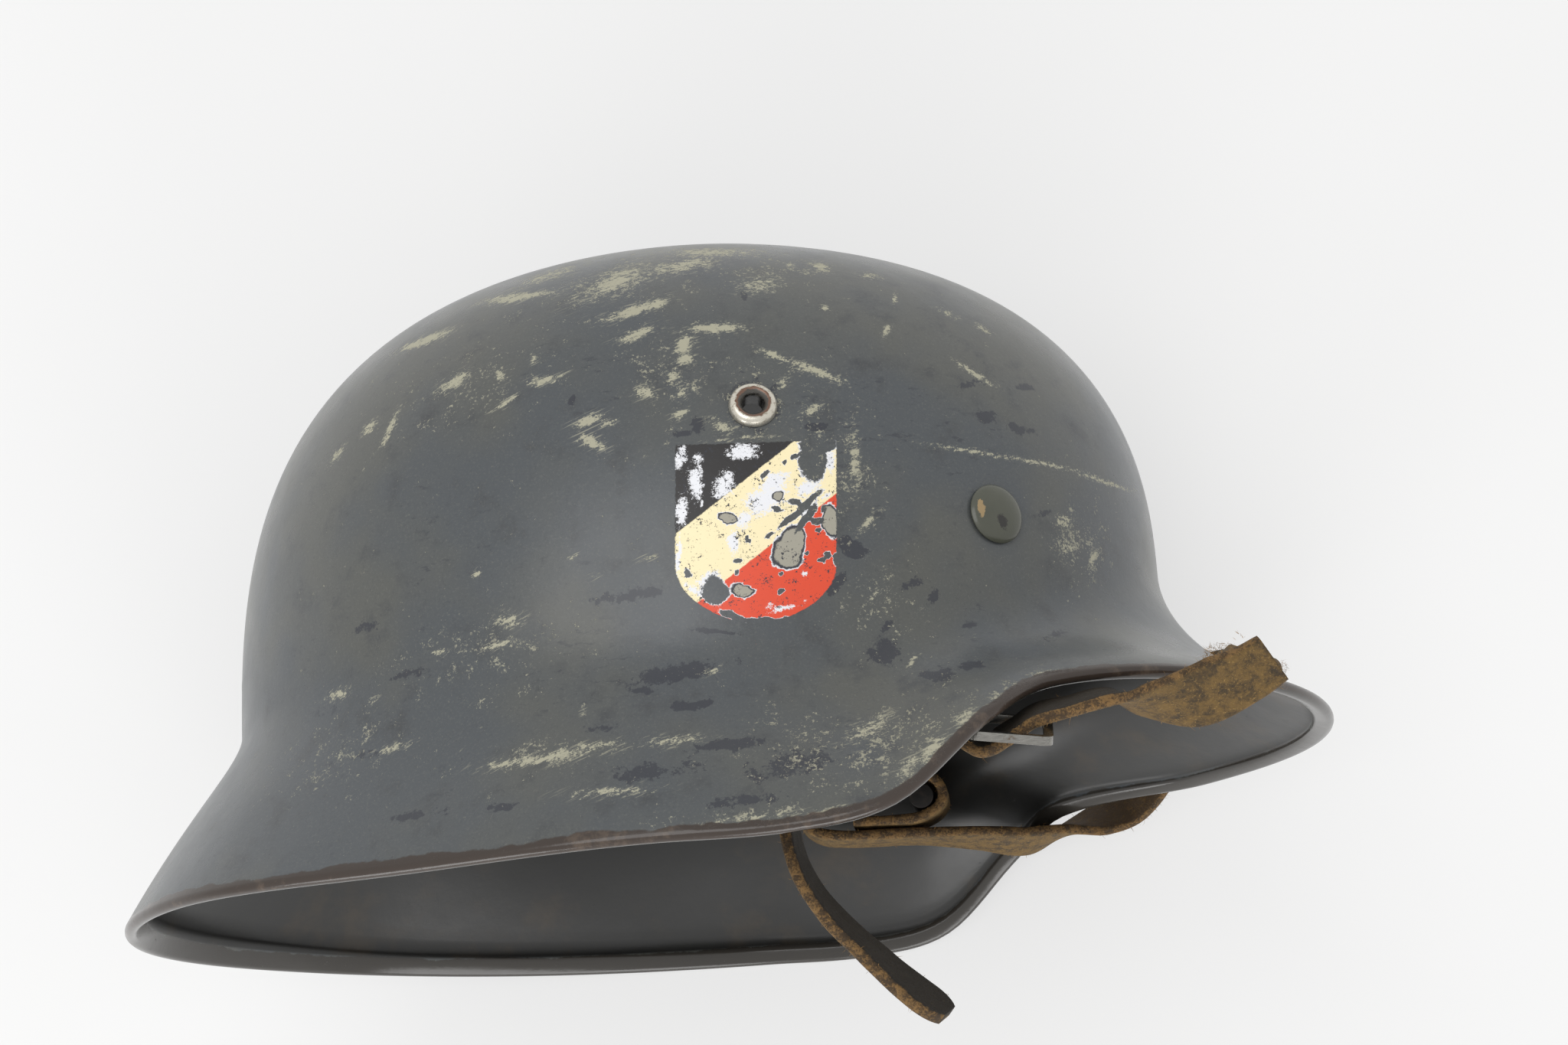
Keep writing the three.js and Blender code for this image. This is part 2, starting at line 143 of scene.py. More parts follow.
def outer_axes(azimuth, station):
    """Outward normal, and the direction towards the edge, on the outer face."""
    held = np.maximum(station, CROWN_STATION)
    low = np.maximum(station - STATION_STEP, CROWN_STATION)
    high = np.minimum(station + STATION_STEP, 2)
    down = unit(outer_point(azimuth, high) - outer_point(azimuth, low))
    ahead = outer_point(azimuth + AZIMUTH_STEP, held)
    around = unit(ahead - outer_point(azimuth - AZIMUTH_STEP, held))
    return unit(np.cross(down, around)), down


print("edge at the front:", np.round(outer_point(0, 2), 1), "mm")

# %% [markdown]
# ## Rows of the shell
# A skin is easiest to make from rows of points. They run from the crown down the outside, round
# the rolled hem, and back up the inside, so the sheet has its real thickness.

# %% Shell rows
SHELL_COLUMNS = 260
DOME_ROWS = 56
FLARE_ROWS = 32
HEM_ROWS = 8
WALK_SAMPLES = 2000
AT_CROWN = 1e-9
# columns: share of the hem's width, depth under the outer face, over the bead's inner side
BEAD = [(0.3, 3.0), (0.6, 2.95), (0.8, 2.7), (0.93, 2.2), (1, 1.6)]


def walked(points):
    """Length of the way along rows of points, from the first row to each."""
    walk = np.linalg.norm(np.diff(points, axis=0), axis=-1)
    return np.concatenate([np.zeros_like(walk[:1]), np.cumsum(walk, axis=0)])


def even_stations(start, end, count):
    """Stations with even steps along the wall at the helmet's side."""
    fine = np.linspace(start, end, WALK_SAMPLES)
    length = walked(outer_point(90.0, fine))
    return np.interp(np.linspace(0, length[-1], count + 1), length, fine)


def sunk(azimuths, stations, depth):
    """Points under the outer face, at a depth along its normal."""
    normal, _ = outer_axes(azimuths, stations)
    points = outer_point(azimuths, stations) - normal * depth
    crown = np.broadcast_to(stations, azimuths.shape) < AT_CROWN
    points[crown] = (0, 0, CROWN_HEIGHT - depth)
    return points


def hem_points(azimuths, share):
    """One row of the half round that rolls the edge inwards."""
    normal, down = outer_axes(azimuths, 2.0)
    angle = math.pi * share
    centre = outer_point(azimuths, 2.0) - normal * HEM_RADIUS
    return centre + HEM_RADIUS * (normal * math.cos(angle) + down * math.sin(angle))


def shell_rows(azimuths):
    """Rows of points from the crown outside to the crown inside, and the number of the edge row."""
    dome = even_stations(0, 1, DOME_ROWS)
    flare = even_stations(1, 2, FLARE_ROWS)[1:]
    flare_length = np.linalg.norm(outer_point(azimuths, 1.0) - outer_point(azimuths, 2.0), axis=-1)
    hem_start = 2 - HEM_WIDTH / flare_length
    rows = [sunk(azimuths, station, 0) for station in dome]
    rows += [sunk(azimuths, station, 0) for station in flare]
    rows += [hem_points(azimuths, i / HEM_ROWS) for i in range(1, HEM_ROWS + 1)]
    edge_row = DOME_ROWS + FLARE_ROWS + HEM_ROWS // 2
    for share, depth in BEAD:
        rows.append(sunk(azimuths, 2 - (2 - hem_start) * share, depth))
    for station in flare[::-1][2::2]:
        rows.append(sunk(azimuths, 1 + (hem_start - 1) * (station - 1), SHEET))
    rows += [sunk(azimuths, station, SHEET) for station in dome[::-2]]
    return np.stack(rows), edge_row


print("columns and rows:", SHELL_COLUMNS, DOME_ROWS + FLARE_ROWS)

# %% [markdown]
# ## Laid on its side
# The helmet lies on its left flank, so one rotation takes the upright frame to the table. The
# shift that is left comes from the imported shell's box, so nothing is fitted by eye.

# %% Upright frame to table
LYING_TILT = 13.5
LYING_TURN = -3.5
LAY_TURN = np.array(
    Matrix.Rotation(math.radians(-90 - LYING_TILT), 3, "X")
    @ Matrix.Rotation(math.radians(LYING_TURN), 3, "Z")
)


def lying_shift():
    points, _ = shell_rows(np.arange(0, 360, 1.0))
    turned = points.reshape(-1, 3) @ LAY_TURN.T
    low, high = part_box("shell")
    middle = (np.array(low) + np.array(high)) / 2 / MM
    return middle - (turned.min(0) + turned.max(0)) / 2


LAY_SHIFT = lying_shift()
print("shift on the table:", np.round(LAY_SHIFT, 2), "mm")


def lay(points):
    """Points of the upright frame in millimetres, as metres on the table."""
    return (np.asarray(points, float) @ LAY_TURN.T + LAY_SHIFT) * MM


# %% [markdown]
# ## Camera
# The photograph looks almost straight down at the table, from about three quarters of a metre.
# Its direction, distance and focal length were found by laying the rim and the fittings over
# the photograph. They are kept in the upright frame, where they are easy to read.

# %% Camera
PHOTO_WIDTH = 2048
PHOTO_HEIGHT = 1365
CAMERA_AZIMUTH = math.radians(4.93)
CAMERA_ELEVATION = math.radians(-14.78)
CAMERA_ROLL = math.radians(-3.26)
CAMERA_DISTANCE = 739.3
CAMERA_TARGET = np.array([16.45, 0, 42.2])
CAMERA_FOCUS = 3978.5
SENSOR_WIDTH = 36
NEAREST = 0.01


def camera_axes():
    level = math.cos(CAMERA_ELEVATION)
    back = np.array([
        math.sin(CAMERA_AZIMUTH) * level,
        -math.cos(CAMERA_AZIMUTH) * level,
        math.sin(CAMERA_ELEVATION),
    ])
    right = np.array([math.cos(CAMERA_AZIMUTH), math.sin(CAMERA_AZIMUTH), 0])
    up = np.cross(back, right)
    across = math.cos(CAMERA_ROLL) * right + math.sin(CAMERA_ROLL) * up
    rise = math.cos(CAMERA_ROLL) * up - math.sin(CAMERA_ROLL) * right
    return LAY_TURN @ across, LAY_TURN @ rise, LAY_TURN @ back


CAMERA_RIGHT, CAMERA_UP, CAMERA_BACK = camera_axes()
CAMERA_PLACE = lay(CAMERA_TARGET) + CAMERA_BACK * CAMERA_DISTANCE * MM


def to_matrix(columns):
    """Matrix from three axes and a place."""
    return Matrix(np.vstack([np.column_stack(columns), [0, 0, 0, 1]]).tolist())


def add_camera():
    data = bpy.data.cameras.new("photo_camera")
    data.sensor_width = SENSOR_WIDTH
    data.lens = CAMERA_FOCUS / PHOTO_WIDTH * SENSOR_WIDTH
    data.clip_start = NEAREST
    camera = bpy.data.objects.new("photo_camera", data)
    bpy.context.scene.collection.objects.link(camera)
    camera.matrix_world = to_matrix([CAMERA_RIGHT, CAMERA_UP, CAMERA_BACK, CAMERA_PLACE])
    bpy.context.scene.camera = camera
    print("camera", np.round(CAMERA_PLACE, 3), "lens", round(data.lens, 1))


add_camera()

# %% [markdown]
# ## A grid rolled into a surface
# The shell and the straps are both closed skins over rows of points. By hand one would extrude
# ring after ring. Here a flat grid is added with as many squares as the skin needs, its
# vertices are carried to the rows, and the seam and the poles are merged in edit mode.

# %% Rolled grid
MERGE = 1e-6


def only(piece):
    """Select one piece and make it the active one."""
    bpy.ops.object.select_all(action="DESELECT")
    piece.select_set(True)
    bpy.context.view_layer.objects.active = piece


@contextmanager
def editing(piece):
    """Edit mode on one piece, and back to object mode."""
    only(piece)
    bpy.ops.object.mode_set(mode="EDIT")
    yield
    bpy.ops.object.mode_set(mode="OBJECT")


def close_mesh(piece):
    """Merge the vertices that meet, and turn all faces outwards."""
    with editing(piece):
        bpy.ops.mesh.select_all(action="SELECT")
        bpy.ops.mesh.remove_doubles(threshold=MERGE)
        bpy.ops.mesh.normals_make_consistent(inside=False)


def write_attribute(piece, name, values):
    layer = piece.data.attributes.get(name) or piece.data.attributes.new(name, "FLOAT", "POINT")
    layer.data.foreach_set("value", np.asarray(values, np.float32).ravel())


def read_attribute(piece, name):
    values = np.zeros(len(piece.data.vertices), np.float32)
    piece.data.attributes[name].data.foreach_get("value", values)
    return values


def vertex_places(piece):
    places = np.zeros(len(piece.data.vertices) * 3, np.float32)
    piece.data.vertices.foreach_get("co", places)
    return places.reshape(-1, 3).astype(float)


def rolled_grid(name, points, attributes):
    """Closed skin over points[row, column], whose last column meets the first."""
    rows, columns = points.shape[:2]
    bpy.ops.object.select_all(action="DESELECT")
    bpy.ops.mesh.primitive_grid_add(x_subdivisions=columns, y_subdivisions=rows - 1, size=2)
    piece = bpy.context.object
    piece.name = name
    piece.data.name = name
    flat = vertex_places(piece)
    column = np.rint((flat[:, 0] + 1) / 2 * columns).astype(int) % columns
    row = np.rint((flat[:, 1] + 1) / 2 * (rows - 1)).astype(int)
    piece.data.vertices.foreach_set("co", lay(points[row, column]).astype(np.float32).ravel())
    for key, values in attributes.items():
        write_attribute(piece, key, values[row, column])
    close_mesh(piece)
    bpy.ops.object.shade_smooth()
    print(name, "has", len(piece.data.polygons), "faces")
    return piece


# %% [markdown]
# ## The shell as a skin
# The rows become one closed mesh. Two values ride along on every vertex: whether it is inside,
# and how far it is from the edge. The paint reads them later.

# %% Shell mesh
def make_shell():
    azimuths = 180 - 360 * np.arange(SHELL_COLUMNS) / SHELL_COLUMNS
    points, edge_row = shell_rows(azimuths)
    length = walked(points)
    edge = np.abs(length - length[edge_row])
    inside = np.zeros_like(edge)
    inside[edge_row + 1:] = 1
    return rolled_grid("helmet_shell", points, {"edge": edge, "inside": inside})


shell = make_shell()
low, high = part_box("shell")
places = vertex_places(shell)
print("shell box", np.round(places.min(0), 4), np.round(places.max(0), 4))
print("CAD box  ", np.round(low, 4), np.round(high, 4))

# %% [markdown]
# ## Places on the shell
# The vents and rivets sit on the outer face, turned to its normal. One function gives the
# matrix of such a place, and the fittings and the vent holes both use it.

# %% Fitting places
VENT_PLACE = (78, 0.778)
SIDE_RIVET_PLACE = (46, 0.932)
REAR_RIVET_PLACE = (180, 0.95)
SIDES = {"right": -1, "left": 1}


def place_on_shell(place, side):
    """Matrix of a place on the outer face, with local +Z along the normal."""
    azimuth, station = place
    normal, down = outer_axes(azimuth * side, np.float64(station))
    axes = LAY_TURN @ np.column_stack([down, np.cross(normal, down), normal])
    return to_matrix([axes, lay(outer_point(azimuth * side, station))])


for side, sign in SIDES.items():
    print(side, "vent at", np.round(place_on_shell(VENT_PLACE, sign).translation, 4))

# %% [markdown]
# ## The chart
# Real wear isn't even: it has places. The scuffs and the painted shield were charted on
# the photograph, shown 2000 pixels wide. One could paint a texture, but a few rows of strokes
# are easier to change. Each outside vertex that faces the camera knows its pixel of the chart,
# so a stroke's strength can be written straight on the vertices under it.

# %% Chart places
CHART_WIDTH = 2000
CHART_SCALE = PHOTO_WIDTH / CHART_WIDTH
SOFTNESS = 0.9
# vector noise takes its seed from the clock unless it is given one
WANDER_SEED = 7
noise.seed_set(WANDER_SEED)


def chart_place(points):
    """Where the camera sees points, in pixels of the chart: across, then down."""
    offset = points - CAMERA_PLACE
    depth = -(offset @ CAMERA_BACK)
    across = CAMERA_FOCUS * (offset @ CAMERA_RIGHT) / depth
    rise = CAMERA_FOCUS * (offset @ CAMERA_UP) / depth
    return np.column_stack([PHOTO_WIDTH / 2 + across, PHOTO_HEIGHT / 2 - rise]) / CHART_SCALE


def shown_outside(piece):
    """Which vertices lie on the outer face and are turned to the camera."""
    normals = np.zeros(len(piece.data.vertices) * 3, np.float32)
    piece.data.vertices.foreach_get("normal", normals)
    facing = ((CAMERA_PLACE - vertex_places(piece)) * normals.reshape(-1, 3)).sum(1) > 0
    return facing & (read_attribute(piece, "inside") < 0.5)


def ellipse_place(across, up, ellipse, margin=0.0):
    """Places along an ellipse's two axes, where 1 is its outline."""
    x, y, half_length, half_width, angle = ellipse
    turn = math.radians(angle)
    long = (across - x) * math.cos(turn) + (up - y) * math.sin(turn)
    wide = (up - y) * math.cos(turn) - (across - x) * math.sin(turn)
    return long / (half_length + margin), wide / (half_width + margin)


def mark_strength(chart, strokes, margin=0.0):
    """Strongest of a table's soft strokes at each place of the chart, whose y counts downwards."""
    strength = np.zeros(len(chart))
    for x, y, half_length, half_width, angle, force in strokes:
        ellipse = (x, -y, half_length, half_width, angle)
        long, wide = ellipse_place(chart[:, 0], -chart[:, 1], ellipse, margin)
        strength = np.maximum(strength, force * np.exp(-((long**2 + wide**2) ** SOFTNESS)))
    return strength


def wandering(points, wanders):
    """Points moved by smooth wanders, so that charted shapes get uneven outlines."""
    for size, reach in wanders:
        shifts = [noise.noise_vector(Vector(point) / size) for point in points]
        points = points + np.array(shifts) * reach
    return points


print("shown outside:", int(shown_outside(shell).sum()), "vertices")

# %% [markdown]
# ## Scuff strokes
# Each row is one stroke of the chart: its middle, half its length and width, its angle and how
# far the paint is rubbed through. Angles turn anticlockwise from the right. A second table holds
# wide areas of fine specks, and a third the places where the paint is worn to dark steel, and
# one place where the paint is darker round the vent.

# %% Scuff strokes
# columns: chart x, chart y, half length, half width, angle in degrees, strength
SCUFFS = [
    (661, 379, 54, 6, 9, 1.0), (787, 358, 62, 18, 22, 0.8), (700, 352, 50, 8, 18, 0.7),
    (871, 339, 52, 10, 8, 0.82), (905, 322, 80, 7, 0, 0.8), (809, 396, 48, 7, 18, 1.05),
    (838, 387, 16, 7, 12, 1.0), (812, 426, 30, 7, 20, 1.0), (910, 419, 38, 7, 3, 1.05),
    (873, 442, 14, 12, 55, 1.1), (873, 459, 11, 9, 20, 1.1), (858, 480, 13, 8, 30, 1.0),
    (822, 501, 15, 10, 10, 0.95), (870, 501, 9, 7, 40, 0.9), (886, 497, 5, 6, 40, 0.85),
    (867, 528, 13, 7, 20, 0.85), (749, 537, 24, 9, 15, 1.0), (777, 540, 14, 4, 15, 0.95),
    (755, 564, 20, 9, -20, 1.0), (988, 454, 24, 5, -21, 1.0), (1042, 474, 38, 6, -22, 1.05),
    (1035, 523, 20, 6, 25, 0.78), (999, 487, 9, 8, 30, 0.78), (1091, 590, 42, 9, -86, 0.82),
    (921, 545, 22, 9, -15, 0.75), (949, 560, 56, 2, 3, 0.85), (580, 487, 23, 9, 30, 0.95),
    (543, 434, 42, 6, 22, 1.05), (692, 486, 20, 7, 10, 0.95), (713, 480, 14, 3, 25, 0.85),
    (647, 513, 24, 5, 32, 0.85), (680, 457, 7, 7, 60, 0.85), (639, 480, 9, 10, 60, 0.75),
    (498, 546, 27, 4, 65, 0.95), (472, 545, 14, 5, 40, 0.9), (430, 580, 16, 5, 55, 0.8),
    (968, 364, 32, 12, 3, 0.72), (1046, 340, 15, 7, -12, 0.95), (1008, 339, 7, 4, 0, 0.85),
    (1053, 392, 7, 5, 0, 0.85), (1110, 352, 16, 5, -12, 0.72), (1244, 477, 28, 4, -32, 1.0),
    (1130, 423, 10, 5, 60, 0.95), (1141, 381, 8, 4, 80, 0.85), (1210, 400, 18, 4, -25, 0.7),
    (1255, 420, 14, 4, -30, 0.75), (1240, 576, 70, 3, -9, 0.85), (1330, 592, 60, 3, -12, 0.9),
    (1410, 615, 44, 3, -18, 0.9), (1357, 665, 13, 10, 0, 0.78), (1360, 698, 13, 10, 0, 0.76),
    (1394, 712, 18, 6, 70, 0.78), (1105, 668, 18, 6, 50, 0.8), (649, 792, 22, 10, 12, 0.8),
    (634, 823, 27, 6, 18, 0.76), (560, 831, 15, 5, 10, 0.74), (607, 733, 8, 5, 60, 0.8),
    (825, 712, 14, 4, 10, 0.76), (731, 711, 9, 4, 20, 0.78), (757, 735, 9, 4, 0, 0.72),
    (430, 886, 18, 8, 20, 0.76), (476, 893, 9, 5, 30, 0.72), (700, 966, 88, 9, 8, 0.74),
    (640, 975, 24, 7, 12, 0.74), (760, 950, 40, 6, 8, 0.72), (1110, 930, 40, 16, 25, 0.62),
    (1160, 975, 30, 10, 40, 0.66), (909, 856, 15, 5, 20, 0.76), (744, 905, 9, 4, 80, 0.76),
    (855, 945, 50, 8, 6, 0.64), (500, 955, 26, 6, 15, 0.72), (1165, 842, 16, 4, 60, 0.72),
    (1115, 760, 12, 5, 55, 0.74), (780, 1010, 70, 8, 4, 0.62), (1060, 1035, 60, 7, 8, 0.68),
    (950, 1045, 70, 6, 6, 0.64), (1230, 915, 18, 10, 40, 0.85), (1294, 882, 34, 5, 30, 0.85),
    (1190, 955, 26, 12, 50, 0.9), (1345, 857, 40, 4, 6, 0.75),
]
# areas of fine pale specks; columns as above
SPRINKLES = [
    (1150, 950, 120, 60, 30, 1.0), (1030, 960, 80, 60, 10, 0.85), (1270, 890, 70, 20, 30, 1.0),
    (960, 1040, 120, 16, 6, 0.9), (440, 960, 110, 50, 20, 0.8), (620, 840, 150, 60, 10, 0.65),
    (700, 965, 110, 22, 8, 0.95), (780, 365, 140, 40, 12, 0.85), (980, 345, 140, 30, 0, 0.75),
    (860, 480, 80, 80, 0, 0.7), (1060, 600, 70, 110, 0, 0.7), (1375, 690, 50, 60, 0, 0.85),
    (1120, 770, 60, 80, 0, 0.7), (600, 490, 140, 60, 20, 0.65), (960, 520, 75, 60, 0, 0.8),
]
# places worn to dark steel, and in the last row darker paint round the vent; columns as above
DARK_MARKS = [
    (890, 543, 11, 11, 0, 1.0), (872, 553, 16, 4, 0, 0.9), (1041, 543, 18, 5, 5, 0.95),
    (730, 509, 8, 4, 65, 1.0), (949, 377, 9, 4, -70, 0.95), (1086, 697, 26, 14, -10, 0.9),
    (1066, 746, 24, 8, 50, 0.85), (1300, 546, 34, 9, -12, 0.72), (1236, 490, 26, 8, 10, 0.72),
    (910, 806, 42, 4, -5, 0.85), (870, 692, 10, 5, 0, 0.7), (1160, 745, 22, 10, 20, 0.75),
    (1115, 835, 26, 9, -40, 0.8), (1195, 862, 30, 10, 10, 0.75), (1130, 800, 20, 8, 50, 0.75),
    (800, 760, 60, 12, 8, 0.66), (860, 860, 80, 18, 10, 0.7), (1010, 975, 80, 24, 12, 0.7),
    (830, 985, 70, 16, 6, 0.66), (950, 1020, 70, 12, 6, 0.68), (470, 960, 34, 12, 20, 0.62),
    (530, 1040, 60, 9, 8, 0.62), (470, 800, 30, 10, 20, 0.6), (520, 860, 40, 10, 15, 0.62),
    (1237, 851, 22, 8, 5, 0.8), (1256, 531, 18, 8, 0, 0.85), (1191, 760, 14, 12, 60, 0.9),
    (1092, 705, 22, 9, 10, 0.9), (1132, 830, 24, 16, -40, 0.9), (1305, 494, 16, 6, -10, 0.8),
    (1238, 797, 16, 5, 8, 0.85), (1330, 655, 20, 6, 5, 0.7), (1345, 810, 16, 8, 20, 0.7),
    (880, 900, 40, 8, 5, 0.85), (930, 950, 60, 9, 6, 0.85), (760, 930, 30, 7, 5, 0.75),
    # the last row makes the paint darker round the vent
    (820, 880, 24, 6, 0, 0.75), (640, 1030, 30, 7, 5, 0.7), (960, 515, 40, 40, 0, 0.75),
]
print(len(SCUFFS), "scuffs,", len(SPRINKLES), "areas of specks and", len(DARK_MARKS), "dark marks")

# %% [markdown]
# ## Finer faces under the marks
# A value on a vertex is only as sharp as the mesh. The faces under the strokes, under the shield
# and round the vents are selected by their place and subdivided, with a smoothness of one so
# that the new vertices follow the curve. The rest stays coarse and light.

# %% Refine under the marks
SHIELD_CENTRE = (964, 678)
SHIELD_AREA = 150
VENT_AREA = 4 * MM
VENT_DEPTH = 6 * MM
MARK_MARGIN = 7
MARKED = 0.3
REFINE_CUTS = 3


def deselect(piece):
    for element in (*piece.data.vertices, *piece.data.edges):
        element.select = False


def refine(piece, chosen, cuts):
    """Subdivide the faces that have a chosen corner."""
    deselect(piece)
    for face in piece.data.polygons:
        face.select = any(chosen[v] for v in face.vertices)
    with editing(piece):
        bpy.ops.mesh.select_mode(type="FACE")
        bpy.ops.mesh.subdivide(number_cuts=cuts, smoothness=1.0)
    print(piece.name, "now has", sum(len(f.vertices) - 2 for f in piece.data.polygons), "triangles")


def under_marks(piece):
    """Which vertices lie under a stroke or the shield."""
    chart = chart_place(vertex_places(piece))
    strength = mark_strength(chart, SCUFFS + DARK_MARKS, MARK_MARGIN)
    to_shield = np.abs(chart - SHIELD_CENTRE).max(1)
    return shown_outside(piece) & ((strength > MARKED) | (to_shield < SHIELD_AREA))


def near_vents(piece):
    """Which vertices lie round either vent's axis."""
    places = np.column_stack([vertex_places(piece), np.ones(len(piece.data.vertices))])
    near = np.zeros(len(places), bool)
    for sign in SIDES.values():
        across, down, deep, _ = np.array(place_on_shell(VENT_PLACE, sign).inverted()) @ places.T
        near |= (np.hypot(across, down) < VENT_AREA) & (np.abs(deep) < VENT_DEPTH)
    return near


refine(shell, under_marks(shell) | near_vents(shell), REFINE_CUTS)

# %% [markdown]
# ## Vent holes
# Each vent is open, so the shell needs a hole there. The faces around the vent's axis are now
# small enough to be selected by their place and deleted, and the rims of the outer and the inner
# hole are bridged. The bushing's flange covers the edge.

# %% Cut the vent holes
VENT_HOLE = 3.1 * MM


def cut_vent(piece, matrix):
    """Open the sheet round a vent's axis."""
    inverse = matrix.inverted()
    for face in piece.data.polygons:
        spot = inverse @ face.center
        face.select = math.hypot(spot.x, spot.y) < VENT_HOLE and abs(spot.z) < VENT_DEPTH
    with editing(piece):
        bpy.ops.mesh.select_mode(type="FACE")
        bpy.ops.mesh.delete(type="FACE")
        bpy.ops.mesh.select_mode(type="EDGE")
        bpy.ops.mesh.select_non_manifold(extend=False)
        bpy.ops.mesh.bridge_edge_loops()
        bpy.ops.mesh.select_mode(type="VERT")
        bpy.ops.mesh.select_all(action="DESELECT")


deselect(shell)
for sign in SIDES.values():
    cut_vent(shell, place_on_shell(VENT_PLACE, sign))
print("shell after the holes:", len(shell.data.polygons), "faces")

# %% [markdown]
# ## Wear on the vertices
# The strokes are written on the fine mesh. The places are first moved by a small wander, so that
# no stroke is a clean ellipse. The paint's nodes break them up further.

# %% Write the strokes
# columns: size of a wander and its reach, in millimetres
STROKE_WANDERS = [(5, 0.3), (1.7, 0.2)]


def chart_strokes(piece, strokes, attribute):
    """Write the strength of a table's strokes on the vertices."""
    shown = shown_outside(piece)
    places = wandering(vertex_places(piece)[shown] / MM, STROKE_WANDERS)
    strength = np.zeros(len(shown))
    strength[shown] = mark_strength(chart_place(places * MM), strokes)
    write_attribute(piece, attribute, strength)
    print(attribute, "charted on", int((strength > MARKED).sum()), "vertices")


chart_strokes(shell, SCUFFS, "scuff")
chart_strokes(shell, DARK_MARKS, "dark_mark")
chart_strokes(shell, SPRINKLES, "sprinkle")

# %% [markdown]
# ## Charting the shield
# The right side carries a painted shield with three slanting stripes, black, cream and red, a
# plain and traditional device. Much of it has flaked away, to a white ground coat, to bare grey
# metal or to the helmet's own paint. The tables say where, in millimetres on the shield.

# %% Shield chart
SHIELD_SCALE = (6.055, 5.469)
SHIELD_HALF_WIDTH = 17.1
SHIELD_TOP = 20.9
TOP_TILT = 0.035
SHIELD_SHOULDER = -8
SHIELD_BOTTOM = -21.6
FOOT_POWER = 0.62
STRIPE_TILT = math.radians(41)
FAR_AWAY = -50
LOSS_PEAK = 1.4
# columns as for the strokes
SHIELD_WANDERS = [(3.2, 0.7), (1.1, 0.35)]
# noise is nought on whole numbers, so flat places are read at this height
OFF_LATTICE = 0.5
# columns: across, up, half length, half width, angle in degrees
PAINT_GONE = [
    (12.3, 16.6, 5.2, 3.1, 90), (13.2, 20.4, 4.2, 1.6, 0), (9.6, 5.2, 6.6, 0.8, 45),
    (10.4, 2.9, 4.4, 0.8, 55), (13.0, 2.6, 1.7, 1.0, 10), (14.2, 5.4, 1.0, 0.6, 50),
    (-8.8, -13.6, 3.3, 2.5, -70), (-7.2, -14.4, 2.0, 1.6, 20), (2.2, 13.1, 1.5, 0.7, 35),
    (8.2, 7.0, 1.8, 0.6, -5), (4.7, 5.2, 1.4, 0.6, -10), (8.0, 17.4, 1.1, 0.6, 30),
    (5.8, 16.2, 0.6, 0.6, 0), (-3.6, -6.7, 1.2, 0.5, 15), (-1.6, -1.9, 1.8, 0.42, -65),
    (2.0, -20.9, 5.2, 1.0, 4), (-4.6, -19.9, 3.6, 1.0, -25), (16.8, -6.7, 1.4, 0.8, 90),
    (15.1, -5.6, 1.1, 0.8, -60), (10.8, -4.9, 0.8, 0.6, 90), (13.9, -6.9, 0.9, 0.5, 0),
    (13.4, 0.4, 0.7, 0.6, 40), (5.3, -10.0, 0.7, 0.5, 45), (2.9, -0.7, 0.9, 0.5, 20),
    (-14.4, -9.6, 1.3, 0.5, -55), (5.6, -13.7, 0.8, 0.5, 40), (-3.7, -10.0, 0.6, 0.5, 0),
]
# columns as above
BARE_METAL = [
    (6.7, -5.0, 3.4, 2.9, 60), (8.0, -2.2, 3.2, 2.0, 80), (7.0, -6.0, 2.6, 2.0, 0),
    (15.8, 2.6, 3.4, 1.4, 100), (-2.9, -13.7, 2.1, 1.2, -15), (-5.7, 3.1, 1.9, 1.1, -8),
    (4.7, 8.4, 1.2, 0.9, 25),
]
# columns as above
WHITE_LAYER = [
    (-15.8, 17.2, 3.2, 1.5, 80), (-12.4, 16.9, 1.5, 1.4, 0), (-12.6, 11.3, 5.2, 1.9, 92),
    (-11.4, 6.6, 1.6, 0.6, 100), (-6.6, 10.8, 4.2, 2.5, 75), (-2.6, 18.6, 4.2, 2.2, -8),
    (-15.6, 4.8, 4.6, 1.6, 90), (16.0, 16.6, 4.0, 1.1, 92), (11.0, 10.0, 3.3, 2.3, 25),
    (11.0, 5.3, 5.6, 0.45, 40), (14.8, 8.4, 1.8, 0.8, 45), (2.0, 7.6, 7.0, 3.8, 40),
    (3.6, 11.4, 5.2, 1.8, 35), (-4.8, -2.4, 3.6, 1.6, 90), (-2.4, 3.0, 3.0, 2.0, 60),
    (-16.4, -6.0, 6.5, 0.8, 88), (-12.2, -14.0, 5.0, 1.0, -42), (6.0, -18.0, 3.8, 0.9, 12),
    (10.2, -9.8, 1.2, 0.7, -30), (-10.0, -11.0, 3.2, 1.4, 30), (3.1, -17.3, 0.9, 0.6, 0),
    (10.4, -15.9, 0.7, 0.5, 40),
]


def loss_strength(places, ellipses):
    """Above 0.4 inside a table's ellipses, falling off outside."""
    strength = np.zeros(len(places))
    for ellipse in ellipses:
        long, wide = ellipse_place(places[:, 0], places[:, 1], ellipse)
        strength = np.maximum(strength, LOSS_PEAK - np.hypot(long, wide))
    return strength


def shield_depth(across, up):
    """Millimetres inside the shield's outline: straight sides and a rounded foot."""
    drop = np.clip((SHIELD_SHOULDER - up) / (SHIELD_SHOULDER - SHIELD_BOTTOM), 0, 1)
    half_width = SHIELD_HALF_WIDTH * (1 - drop**2) ** FOOT_POWER
    top = SHIELD_TOP + TOP_TILT * across
    return np.minimum(half_width - np.abs(across), top - up)


